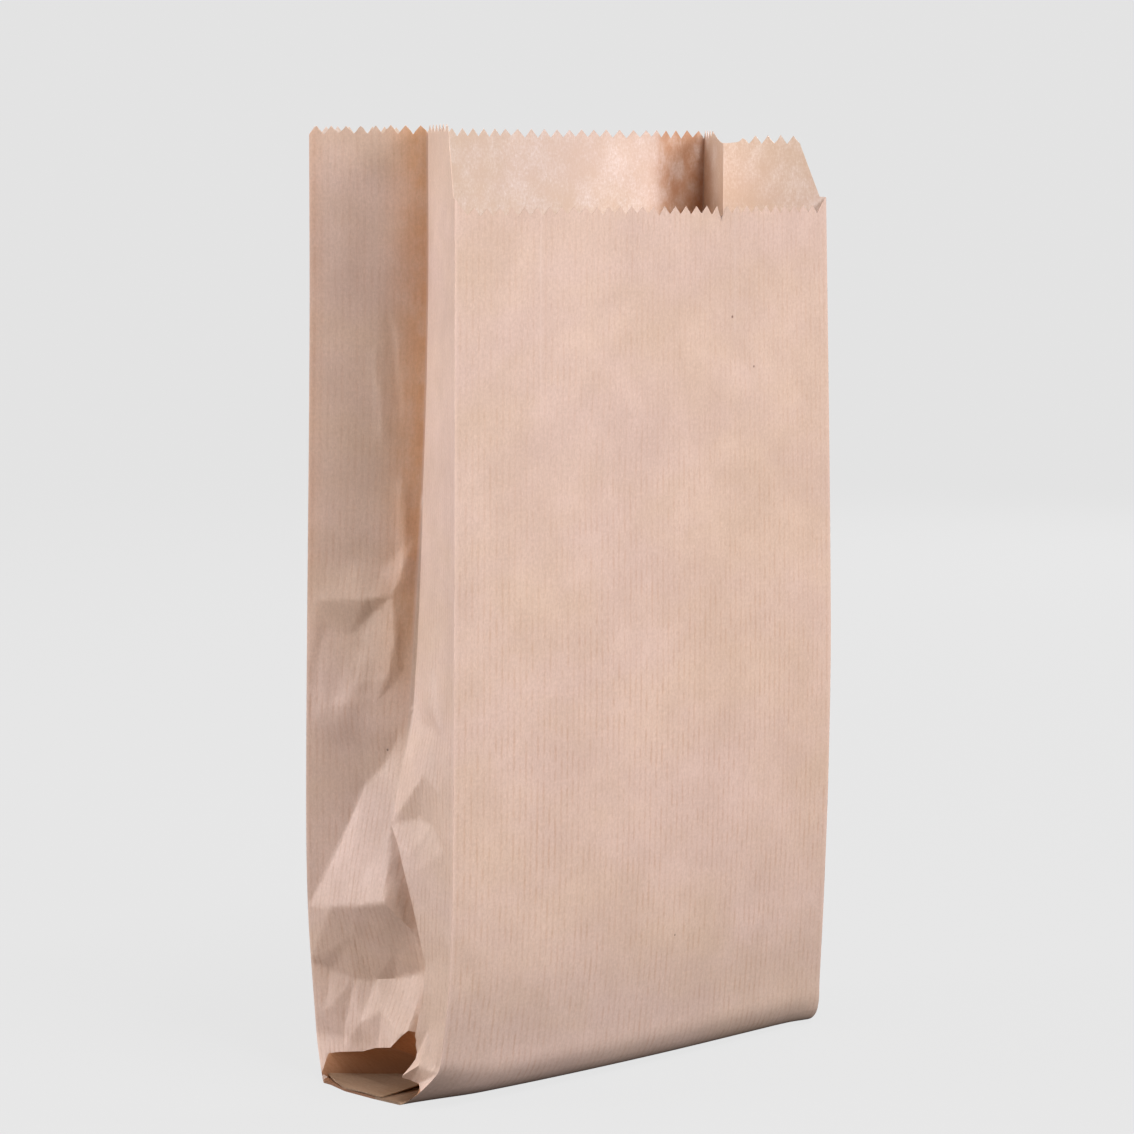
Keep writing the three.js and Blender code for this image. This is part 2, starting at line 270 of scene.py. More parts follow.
DENT_LINES = ("o0 o1 o2 o3 o4 o5 o0", "o1 o7 o6 o4")
LEAN_SPAN = (230, 150)
CRUMPLED_SPAN = (136, 120)
LEFT_CRUMPLE = Crumple(
    low=CreaseNet(
        corners={
            # the plain fold above
            "p0": (0, 136, 0), "p1": (24, 136, 6.8), "p2": (48, 136, 13.8), "p3": (70, 136, 7.2),
            "p4": (94, 136, 0),
            # down the back fold and the front fold
            "s0": (0, 100, 0), "s1": (0, 62, 0), "s2": (0, 42, 0), "s3": (0, 22, 0), "s4": (0, -4, 0),
            "t0": (94, 112, 0), "t1": (94, 92, 0), "t2": (94, 60, 0), "t3": (94, 34, 0),
            "t4": (94, 14, 0.2), "t5": (94, -4, 0.4), "u0": (20, -4, 1), "u1": (50, -4, 4),
            "u2": (76, -4, 3),
            # diagonal from the end of the middle fold down to the back fold
            "v1": (47.5, 124, 12.4), "a1": (36.6, 117.4, 11), "a2": (26.2, 108.9, 9.2),
            "a4": (17.9, 91.8, 6.2), "a6": (9.0, 75.6, 2.9),
            # pale facet and the ridge under it
            "c1": (14.9, 63.5, 0.5), "c2": (31.9, 66.0, 0.7), "c3": (49.2, 69.4, 1.2),
            "c4": (24.9, 84.6, 4.2), "c5": (33.3, 82.3, 4.3), "c6": (40.3, 77.9, 3.2),
            # wedge under the front flap, and the flap's edge in front of it
            "dl": (46.7, 81.1, 4.6), "d0": (44.2, 96.3, 8), "d1": (51.2, 89.6, 8.8),
            "d2": (57.4, 80.4, 10.2), "d3": (62.8, 71.1, 11.4), "d4": (66.7, 63.4, 11.6),
            "d5": (69.8, 55.7, 10.8), "d6": (72.2, 50.0, 10.4),
            "x0": (52.6, 90.2, 5.2), "x1": (58.9, 80.7, 3.8), "x2": (64.3, 71.3, 3.2),
            "x3": (68.2, 63.5, 2.9), "x4": (71.4, 55.8, 2.8), "x5": (74.3, 50.4, 2.8),
            # dented facets beside the front fold
            "b1": (64.5, 82.0, 3.6), "b2": (61.0, 88.0, 4.4), "b3": (69.5, 76.5, 3.0),
            "e0": (69.8, 117.6, 4.4), "e2": (82.0, 112.0, 2.2), "e3": (89.5, 106, 0.9),
            "e4": (64.0, 101.0, 6.7), "e5": (75.0, 100.0, 4.7), "e6": (86.4, 92.0, 1.8),
            # underside of the ridge and the valley below it
            "m1": (45.6, 58.3, 5.0), "m2": (47.2, 50.7, 7.6), "m3": (24, 53, 3.8), "m4": (60, 60, 6.8),
            "n1": (9.2, 39.8, 3.2), "n2": (21.5, 37.7, 5.8), "n3": (33.0, 38.6, 8.4),
            "n5": (44.1, 40.1, 10.4), "n6": (59.5, 44.4, 10.8), "n7": (66.4, 46.9, 10.2),
            # pale facet above the pocket, and the narrow gap at its right
            "g1": (41.0, 29.1, 5.6), "g2": (44.2, 21.8, 4.6), "g3": (39.1, 14.8, 5.4),
            "g4": (52.1, 17.1, 3.2), "g5": (58.4, 22.4, 3.4), "g6": (62.6, 24.3, 4.2),
            "g7": (61.6, 30.8, 7.6), "g8": (64.4, 40.2, 9.8), "g9": (71.0, 38.0, 10.4),
            "h8": (70.4, 31.0, 9.6), "h9": (68.6, 24.6, 8.2),
            "y1": (73.6, 39.7, 2.6), "y2": (72.5, 33.2, 2.6), "y3": (70.6, 25.7, 2.4),
            "y4": (69.0, 19.2, 2.8), "y5": (62.0, 12.5, 4.6), "y6": (81, 41, 1.9), "y7": (79, 27, 2.6),
            # corner by the back fold
            "h0": (6, 24, 0.6), "h1": (27.2, 22.3, 4.0), "h2": (15.4, 10.2, 2.8),
            "h3": (28.9, 12.0, 5.4), "h4": (12.1, 28.4, 2.1), "h5": (17.0, 21.0, 3.6),
            # crumpled front corner
            "k0": (71.6, 17.5, 3.4), "k1": (89.5, 13.4, 0.2), "k2": (85.5, 8.6, 1.6),
            "k3": (75.2, 10.8, -2.6), "k4": (79.5, 15.0, -0.6), "k5": (79, 9.4, 0.4),
        },
        creases=(
            "p0 p1 p2 p3 p4", "p0 s0 s1 s2 s3 s4 u0 u1 u2 t5", "p4 t0 t1 t2 t3 t4 t5",
            "p2 v1 a1 a2 a4 a6 s1", "s1 c1 c2 c3", "a4 c4 c5 c6 c3", "c3 dl d0",
            "d0 d1 d2 d3 d4 d5 d6", "d0 x0 x1 x2 x3 x4 x5", "c3 m1 m2", "m3 m1 m4 d3", "s2 m3",
            "d0 b2 b1 b3", "d0 e4 e0 e2 e3 t0", "e4 e5 e6 t1", "e0 e5 b1", "e2 e6", "d0 e0 v1", "e4 b2",
            "s2 n1 n2 n3 n5 n6 n7 d6", "n3 g1 g2 g4 g5 g6", "n6 g8 g7 g5", "n7 g9 h8 h9 g6",
            "x5 y1 y2 y3 y4 y5", "g2 g3", "h4 h0", "h4 h5 h2", "n2 h1 h2", "h1 h3", "s3 h0 h2",
            "y4 k0 k4 k1 k2 k5 k3 k0", "k4 k3", "k4 k5", "y5 k3", "x5 y6 t3", "y1 y7 k0", "y7 t3", "b3 x1",
        ),
    ),
    dents=CreaseNet(
        corners={
            **dent_border(200, 47.5),
            "q1": (5, 174.6, -0.7), "q2": (26, 175.5, -1.3), "q3": (38, 177.6, -1.5),
            "r1": (8, 188, 0.3), "r2": (19, 190, 0.5), "r3": (32, 188, 0.5),
            "w1": (7, 163, 0.5), "w2": (19, 163, 0.9), "w3": (22.5, 150, 0.6),
            "l1": (39.5, 172.9, -1.7), "l2": (40.7, 161.0, -1.9), "l3": (37.8, 148.4, -1.2),
            "l4": (28.4, 171.0, 0.4), "l5": (23.4, 161.8, 0.8), "l6": (20.4, 144.6, 0.2),
            "l7": (33, 139.6, -0.6), "z1": (43.6, 167, -0.6), "z2": (43.4, 150, -0.2),
            "z3": (66, 160, 0), "z4": (70, 140, -0.8), "z5": (58, 134, 0.5), "z6": (82, 132, 0.4),
            "z7": (9, 136, -0.6),
        },
        creases=DENT_LINES + (
            "q1 q2 q3", "r1 r2 r3", "w1 w2 w3", "l1 l2 l3 l7", "l4 l5 l6", "l4 l1", "l6 l3", "z1 z2",
            "z5 z4 z6", "q3 l1",
        ),
    ),
    wrinkles=(
        Wrinkle((32, 274), (36, 244), -0.4, (2.4, 3.4)),
        Wrinkle((27, 262), (31, 236), 0.35, (3, 4)),
        Wrinkle((24, 150), (8, 104), 0.7, (8, 8)),
        Wrinkle((40, 214), (43, 184), 0.8, (4, 5)),
        Wrinkle((12, 330), (16, 290), 0.4, (8, 8)),
        Wrinkle((76, 176), (70, 136), -0.5, (6, 6)),
    ),
    lean=0.02,
)

RIGHT_CRUMPLE = Crumple(
    low=CreaseNet(
        corners={
            "p0": (0, 136, 0), "p1": (24, 136, 7), "p2": (47, 136, 14), "p3": (70, 136, 7),
            "p4": (94, 136, 0), "s0": (0, 96, 0), "s1": (0, 60, 0), "s2": (0, 24, 0), "s3": (0, -4, 0),
            "t0": (94, 100, 0), "t1": (94, 66, 0), "t2": (94, 30, 0), "t3": (94, -4, 0),
            "u0": (24, -4, 1), "u1": (47, -4, 3), "u2": (70, -4, 1),
            "a0": (48, 122, 12.4), "a1": (60, 106, 10), "a2": (83, 72, 2.0),
            "b0": (34, 112, 8.6), "b1": (15, 84, 2.0), "b2": (8, 108, 2.8),
            "r0": (14, 66, 0.7), "r1": (38, 71, 1.1), "r2": (60, 62, 1.3), "r3": (43, 92, 6.2),
            "w0": (53, 84, 8.8), "w1": (46, 60, 10.2), "w2": (43, 47, 9.4), "z1": (44, 61, 3.0),
            "z2": (40.5, 47, 2.6), "m0": (22, 40, 6.4), "m1": (66, 44, 7.8), "m2": (80, 52, 3.0),
            "q0": (18, 20, 2.4), "q1": (42, 26, 4.6), "q2": (64, 22, 2.6), "q3": (50, 14, 1.8),
            "q4": (80, 18, 1.0), "q5": (34, 6, 1.6), "q6": (68, 5, 1.4),
        },
        creases=(
            "p0 p1 p2 p3 p4", "p0 s0 s1 s2 s3 u0 u1 u2 t3", "p4 t0 t1 t2 t3", "p2 a0 a1 a2 t1",
            "a0 b0 b1 s1", "b0 b2 s0", "r0 r1 r3 b0", "r1 w0 r3", "w0 w1 w2", "r1 z1 z2", "r2 w0",
            "r2 a2", "r0 s1", "m0 w2 m1 m2 t1", "s1 m0", "q0 q1 q2", "q1 w2", "q1 q3", "q2 q4 t2",
            "q0 s2", "q3 q5", "q3 q6",
        ),
    ),
    dents=CreaseNet(
        corners={
            **dent_border(206, 47),
            "q1": (88, 168, -0.6), "q2": (66, 172, -1.2), "q3": (54, 174, -1.4),
            "r1": (84, 186, 0.4), "r2": (66, 188, 0.6), "w1": (82, 154, 0.6), "w2": (68, 150, 0.8),
            "l1": (38, 186, -2.8), "l2": (24, 160, -1.4), "l3": (36, 148, -2.2), "l4": (18, 176, 0.4),
            "l5": (12, 150, 0.4), "z1": (43, 166, -0.4),
        },
        creases=DENT_LINES + ("q1 q2 q3", "r1 r2", "w1 w2", "l1 l2 l3", "l4 l5", "l1 l3"),
    ),
    wrinkles=(
        Wrinkle((20, 236), (26, 206), -0.9, (5, 5)),
        Wrinkle((72, 268), (66, 236), 0.8, (4, 4)),
        Wrinkle((30, 300), (34, 262), 0.6, (6, 6)),
    ),
    lean=0.0,
)

FRONT_WRINKLES = (
    Wrinkle((-28, 278), (3, 291), -0.22, (5, 12)),
    Wrinkle((-16, 309), (-13, 287), 0.3, (6, 6)),
    Wrinkle((-62, 312), (-72, 288), -0.3, (7, 7)),
    Wrinkle((-95, 72), (-86, 55), 0.5, (2.4, 3.5)),
    Wrinkle((-93, 60), (-90, 47), -0.4, (4, 3)),
    Wrinkle((-40, 262), (-6, 240), 0.6, (12, 16)),
    Wrinkle((-60, 226), (-20, 214), -0.5, (14, 14)),
    Wrinkle((20, 262), (48, 246), 0.4, (10, 12)),
    Wrinkle((60, 120), (84, 40), 0.4, (12, 12)),
)
BACK_WRINKLES = (
    Wrinkle((60, 330), (52, 300), -1.2, (8, 8)),
    Wrinkle((72, 352), (74, 262), -4.0, (20, 20)),
    Wrinkle((10, 344), (6, 306), 1.1, (9, 9)),
    Wrinkle((-40, 150), (0, 120), 0.8, (14, 14)),
    Wrinkle((30, 80), (70, 60), 0.7, (12, 12)),
    Wrinkle((-80, 230), (-66, 180), 0.6, (10, 10)),
)


# ---------------------------------------------------------------- the sheet


class Side(Enum):
    """The four sides of the sheet, in their order round the bag."""

    FRONT = 0
    RIGHT = 1
    BACK = 2
    LEFT = 3


@dataclass(frozen=True)
class SideCut:
    """How one side is cut and divided.

    Attributes:
        start: Where it starts on the flat sheet, in millimetres.
        width: Its flat width.
        teeth: Teeth along its top edge.
        per_tooth: Columns of points in each tooth.
    """

    start: float
    width: float
    teeth: int
    per_tooth: int

    @property
    def columns(self) -> int:
        """Number of columns of points, both ends included."""
        return self.teeth * self.per_tooth + 1

    @property
    def shares(self) -> np.ndarray:
        """Share of the width at each column."""
        return np.linspace(0, 1, self.columns)


PANEL_WIDTH = 200
GUSSET_WIDTH = 94
CUTS = {
    Side.FRONT: SideCut(0, PANEL_WIDTH, 34, 2),
    Side.RIGHT: SideCut(PANEL_WIDTH, GUSSET_WIDTH, 16, 4),
    Side.BACK: SideCut(PANEL_WIDTH + GUSSET_WIDTH, PANEL_WIDTH, 34, 2),
    Side.LEFT: SideCut(2 * PANEL_WIDTH + GUSSET_WIDTH, GUSSET_WIDTH, 16, 6),
}
PANELS = (Side.FRONT, Side.BACK)
GUSSETS = (Side.RIGHT, Side.LEFT)
CRUMPLES = {Side.LEFT: LEFT_CRUMPLE, Side.RIGHT: RIGHT_CRUMPLE}


def from_front(side: Side, share: np.ndarray) -> np.ndarray:
    """Share of a gusset's width counted from the front panel."""
    return 1 - share if side is Side.LEFT else share


def from_back(side: Side, share: np.ndarray) -> np.ndarray:
    """Share of a gusset's width counted from the back panel, or the other way about."""
    return share if side is Side.LEFT else 1 - share


@dataclass
class SheetShape:
    """Shape of the paper's outer face, in millimetres and in the part's own frame.

    Attributes:
        height: Full height of the sheet.
        lip: Height of the low front edge.
        tooth: Depth of the saw teeth.
        uneven: How much their depths differ, as a share.
        ragged: How rough every cut edge is.
        torn: Number of the column where a tooth of the lip is torn.
        torn_depth: How much deeper the edge is cut there.
        corner_tip: How far the lip's two ends rise above it.
        corner_cut: Start and end of the slanting cuts, across a gusset from the front.
        bare_edge: Stretch of the right gusset's edge without teeth, as shares from the front.
        right_drop: How far the right gusset's edge hangs below full height.
        inset: Greatest depth of the gussets.
        bottom_fold: Height at which the wall starts to turn under the bag.
        flap: Height of the pockets' floor at its outer edge.
        seam_y: Place of the seam of the two bottom flaps.
        pocket_depth: Depth of a pocket.
        pocket_past: How far a pocket's inner line reaches past the panels' edges on the floor.
        pocket_gap: How far that line lies above the floor of the pocket.
        front_contact: Y at which the front panel reaches the floor.
        back_contact: Y at which the back panel reaches it.
        side_contact: X at which the gussets reach it.
        side_bulge: How far the right gusset's foot bulges.
        front_left: X and Y of this upright fold at some heights, as of the next three.
        front_right: X and Y of this upright fold.
        back_left: X and Y of this upright fold.
        back_right: X and Y of this upright fold.
        inset_share: Share of the inset at some heights.
        turn_power: How sharp the turn under the bag is, from 1 for a slant, from left to right.
        front_bow: How far the front panel bows out at some heights.
        back_bow: How far the back panel does.
        wave: Depth, number and start of the soft waves at the top of the back panel.
        wave_from: Height from which they grow.
        left_rim: Height of the left pocket's rim, at shares from the front.
        right_rim: Height of the right pocket's rim, at shares from the front.
        left_contact: X at which the left pocket's floor ends, at shares from the front.
        net_top: Height above which a gusset's points lie in even rows.
    """

    height: float = 344.0
    lip: float = 315.5
    tooth: float = 3.0
    uneven: float = 0.08
    ragged: float = 0.1
    torn: int = 46
    torn_depth: float = 2.8
    corner_tip: float = 3.0
    corner_cut: tuple[float, float] = (2.9, 13.0)
    bare_edge: tuple[float, float] = (0.4, 0.78)
    right_drop: Stations = ((0, 2.6), (0.39, 2.6), (0.43, 4.8), (0.58, 4.6), (0.8, 0))
    inset: float = 23.0
    bottom_fold: float = 16.0
    flap: float = 1.0
    seam_y: float = -4.0
    pocket_depth: float = 34.0
    pocket_past: float = 3.0
    pocket_gap: float = 0.4
    front_contact: float = -16.0
    back_contact: float = 27.0
    side_contact: float = 100.0
    side_bulge: float = 3.0
    front_left: Stations = ((16, -96.8, -34.5), (50, -96, -39), (120, -95.8, -41), (344, -95.8, -43))
    front_right: Stations = (
        (16, 100.2, -29), (50, 100.4, -30.8), (100, 101, -32.2), (160, 101.4, -32.4), (344, 101, -28),
    )
    back_left: Stations = (
        (16, -94.8, 37.6), (62, -95, 41.8), (110, -94.4, 43), (270, -94, 39.6), (344, -94.6, 38.2),
    )
    back_right: Stations = ((16, 99.4, 37.2), (66, 100.6, 41), (150, 102.4, 41.8), (344, 104, 40.2))
    inset_share: Stations = (
        (16, 0.12), (60, 0.2), (100, 0.4), (122, 0.56), (153, 0.69), (216, 0.86), (285, 0.945),
        (344, 0.94),
    )
    turn_power: Stations = (
        (0, 1.2), (14, 1.7), (30, 2.2), (110, 2.4), (176, 2.4), (192, 2.6), (200, 3.4),
    )
    front_bow: Stations = ((16, 3), (90, 3), (220, 3), (344, 5))
    back_bow: Stations = ((16, 3), (90, 3), (220, 4), (344, 7.5))
    wave: tuple[float, float, float] = (1.4, 2.2, 0.12)
    wave_from: float = 250.0
    left_rim: Stations = (
        (0, 6), (0.09, 8.2), (0.15, 8.8), (0.198, 10.0), (0.235, 17.0), (0.262, 23.6),
        (0.335, 24.6), (0.39, 21), (0.45, 17), (0.6, 14.6), (0.7, 12.2), (0.86, 10.6), (0.93, 9.6),
        (0.985, 4), (1, 3),
    )
    right_rim: Stations = (
        (0, 6), (0.08, 10), (0.2, 12), (0.34, 17), (0.5, 19), (0.64, 15), (0.8, 13), (0.93, 9), (1, 6),
    )
    left_contact: Stations = ((0, 100), (0.3, 101.4), (0.66, 102), (0.9, 100), (1, 100))
    net_top: float = 212.0

    # ------------------------------------------------------------ edges

    def edge(self, side: Side, share: np.ndarray) -> np.ndarray:
        """Height of the cut edge, without its teeth.

        Args:
            side: Side of the bag.
            share: Shares of its width.

        Returns:
            The heights.
        """
        if side is Side.BACK:
            return np.full_like(share, self.height)
        if side is Side.FRONT:
            return np.where((share == 0) | (share == 1), self.lip + self.corner_tip, self.lip)
        along = from_front(side, share)
        drop = track(self.right_drop, along) if side is Side.RIGHT else 0
        start, end = self.corner_cut
        cut = np.clip((along * CUTS[side].width - start) / (end - start), 0, 1)
        return lerp(self.lip + self.corner_tip, self.height - drop, cut)

    def bare(self, side: Side, share: np.ndarray) -> np.ndarray:
        """True where the edge has no teeth.

        Args:
            side: Side of the bag.
            share: Shares of its width.

        Returns:
            One truth value for each share.
        """
        if side in PANELS:
            return ((share == 0) | (share == 1)) & (side is Side.FRONT)
        along = from_front(side, share)
        slanting = along * CUTS[side].width < self.corner_cut[1]
        if side is Side.LEFT:
            return slanting
        return slanting | ((along > self.bare_edge[0]) & (along < self.bare_edge[1]))

    def notch(self, side: Side, share: np.ndarray) -> np.ndarray:
        """Depth of the cut between the teeth.

        Args:
            side: Side of the bag.
            share: Shares of its width.

        Returns:
            How far the edge is cut below the tips.
        """
        rng = np.random.default_rng(SEED + side.value)
        step = share * CUTS[side].teeth * 2
        saw = np.abs((step % 2) - 1)
        deep = self.tooth * (1 + rng.normal(0, self.uneven, len(share)))
        ragged = rng.normal(0, self.ragged, len(share))
        depth = np.where(self.bare(side, share), 0.3 * ragged, saw * deep + ragged)
        depth[[0, -1]] = self.tooth if side is Side.BACK else 0
        if side is Side.FRONT:
            depth[self.torn] += self.torn_depth
        if side in GUSSETS:
            depth[0 if side is Side.LEFT else -1] = self.tooth
        return depth

    # ------------------------------------------------------------ walls

    def turn(self, height: np.ndarray, power: np.ndarray) -> np.ndarray:
        """How much of the turn under the bag is made at a height: 0 on the wall, 1 on the floor."""
        low = 1 - np.clip(height / self.bottom_fold, 0, 1)
        return 1 - (1 - low**power) ** (1 / power)

    def fold_at(self, fold: Stations, height: np.ndarray, contact: tuple[float, float]) -> tuple:
        """Plan position of an upright fold, with its turn to the floor.

        Args:
            fold: Stations of the fold.
            height: Heights above the floor.
            contact: Where the fold reaches the floor.

        Returns:
            The X and Y positions.
        """
        at = np.maximum(height, self.bottom_fold)
        turned = self.turn(height, self.turn_power[0 if contact[0] < 0 else -1][1])
        x = lerp(track(fold, at, 1), contact[0], turned)
        return x, lerp(track(fold, at, 2), contact[1], turned)

    def wall(self, side: Side, share: np.ndarray, height: np.ndarray) -> np.ndarray:
        """Points of one side of the wall.

        Args:
            side: Side of the bag.
            share: Shares of its width.
            height: Heights above the floor.

        Returns:
            X, Y and Z of each point.
        """
        height = np.asarray(height, dtype=float)
        share = np.broadcast_to(share, height.shape)
        front, back, out = self.front_contact, self.back_contact, self.side_contact
        folds = [
            (self.front_left, (-out, front)), (self.front_right, (out, front)),
            (self.back_right, (out, back)), (self.back_left, (-out, back)),
        ]
        first = self.fold_at(folds[side.value][0], height, folds[side.value][1])
        second = self.fold_at(folds[side.value - 3][0], height, folds[side.value - 3][1])
        x, y = lerp(first[0], second[0], share), lerp(first[1], second[1], share)
        if side in PANELS:
            y = self.panel_y(side, share, height, x)
        else:
            sign = 1 if side is Side.LEFT else -1
            x = x + sign * self.tucked(side, share, height)
        return np.stack([x, y, height], -1)

    def panel_y(self, side: Side, share: np.ndarray, height: np.ndarray, x: np.ndarray) -> np.ndarray:
        """Depth of a bowed panel with its wrinkles.

        Args:
            side: Front or back.
            share: Shares of its width.
            height: Heights above the floor.
            x: Places across the bag.

        Returns:
            Y of each point.
        """
        at = np.maximum(height, self.bottom_fold)
        bow = np.sin(math.pi * share)
        width = CUTS[side].width
        power = track(self.turn_power, (share if side is Side.FRONT else 1 - share) * width)
        if side is Side.FRONT:
            stations, sign, wrinkles = self.front_bow, -1, FRONT_WRINKLES
            contact = self.front_contact
            ends = (track(self.front_left, at, 2), track(self.front_right, at, 2))
        else:
            stations, sign, wrinkles = self.back_bow, 1, BACK_WRINKLES
            contact = self.back_contact
            ends = (track(self.back_right, at, 2), track(self.back_left, at, 2))
        y = lerp(lerp(ends[0], ends[1], share), contact, self.turn(height, power))
        relief = sum(w.height(x, height) for w in wrinkles)
        relief = relief * smooth(height, 4, 30) * smooth(bow, 0.0, 0.12)
        y = y + sign * (track(stations, at) * bow + relief)
        if side is Side.BACK:
            deep, count, start = self.wave
            waves = deep * np.sin(2 * math.pi * (share * count + start)) * bow
            y = y + smooth(height, self.wave_from, self.height) * waves
        return y

    def tucked(self, side: Side, share: np.ndarray, height: np.ndarray) -> np.ndarray:
        """How far a gusset is tucked in.

        Args:
            side: Left or right.
            share: Shares of its width.
            height: Heights above the floor.

        Returns:
            Distance in from the straight line between its upright folds.
        """
        crumple = CRUMPLES[side]
        along = from_back(side, share)
        across = along * CUTS[side].width
        at = np.maximum(height, self.bottom_fold)
        middle = 0.5 + crumple.lean * smooth(height, *LEAN_SPAN)
        fold = np.where(along < middle, along / middle, (1 - along) / (1 - middle))
        edge = np.clip(12 * share * (1 - share), 0, 1)
        relief = sum(w.height(across, height) for w in crumple.wrinkles)
        plain = self.inset * track(self.inset_share, at) * fold - relief * edge
        plain = plain + crumple.dents.depth(across, height, np.zeros_like(plain)) * edge
        low = crumple.low.depth(across, height, plain)
        sunk = lerp(plain, low, smooth(height, *CRUMPLED_SPAN))
        return sunk * np.clip(60 * share * (1 - share), 0, 1)

    # ------------------------------------------------------------ bottom

    def rim(self, side: Side, share: np.ndarray) -> np.ndarray:
        """Height at which the wall ends and the turn under the bag or the pocket starts.

        Args:
            side: Side of the bag.
            share: Shares of its width.

        Returns:
            The heights.
        """
        if side is Side.FRONT:
            return lerp(self.left_rim[0][1], self.right_rim[0][1], share)
        if side is Side.BACK:
            return lerp(self.right_rim[-1][1], self.left_rim[-1][1], share)
        table = self.left_rim if side is Side.LEFT else self.right_rim
        return straight(table, from_front(side, share))

    def contact(self, side: Side, share: np.ndarray) -> np.ndarray:
        """Points where a side reaches the floor.

        Args:
            side: Side of the bag.
            share: Shares of its width.

        Returns:
            X, Y and Z of each point.
        """
        bow = np.sin(math.pi * share)
        out = self.side_contact
        if side is Side.FRONT:
            x, y = lerp(-out, out, share), self.front_contact - track(self.front_bow, 0.0) * bow
        elif side is Side.BACK:
            x, y = lerp(out, -out, share), self.back_contact + track(self.back_bow, 0.0) * bow
        else:
            along = from_front(side, share)
            if side is Side.LEFT:
                x = -straight(self.left_contact, along)
            else:
                x = out + self.side_bulge * np.sin(math.pi * along)
            y = lerp(self.front_contact, self.back_contact, along)
        return np.stack([x, y, np.zeros_like(x)], -1)

    def pocket_end(self, side: Side, share: np.ndarray) -> np.ndarray:
        """Points of the line inside a pocket where its roof meets its floor.

        Args:
            side: Left or right.
            share: Shares of its width.

        Returns:
            X, Y and Z of each point.
        """
        along = from_front(side, share)
        start, end = self.front_contact - self.pocket_past, self.back_contact + self.pocket_past
        before, after = lerp(start, self.seam_y, 2 * along), lerp(self.seam_y, end, 2 * along - 1)
        y = np.where(along < 0.5, before, after)
        sign = 1 if side is Side.RIGHT else -1
        x = sign * (self.side_contact - self.pocket_depth * tent(share) ** 0.7)
        return np.stack([x, y, np.full_like(x, self.flap + self.pocket_gap)], -1)


# ---------------------------------------------------------------- finishes


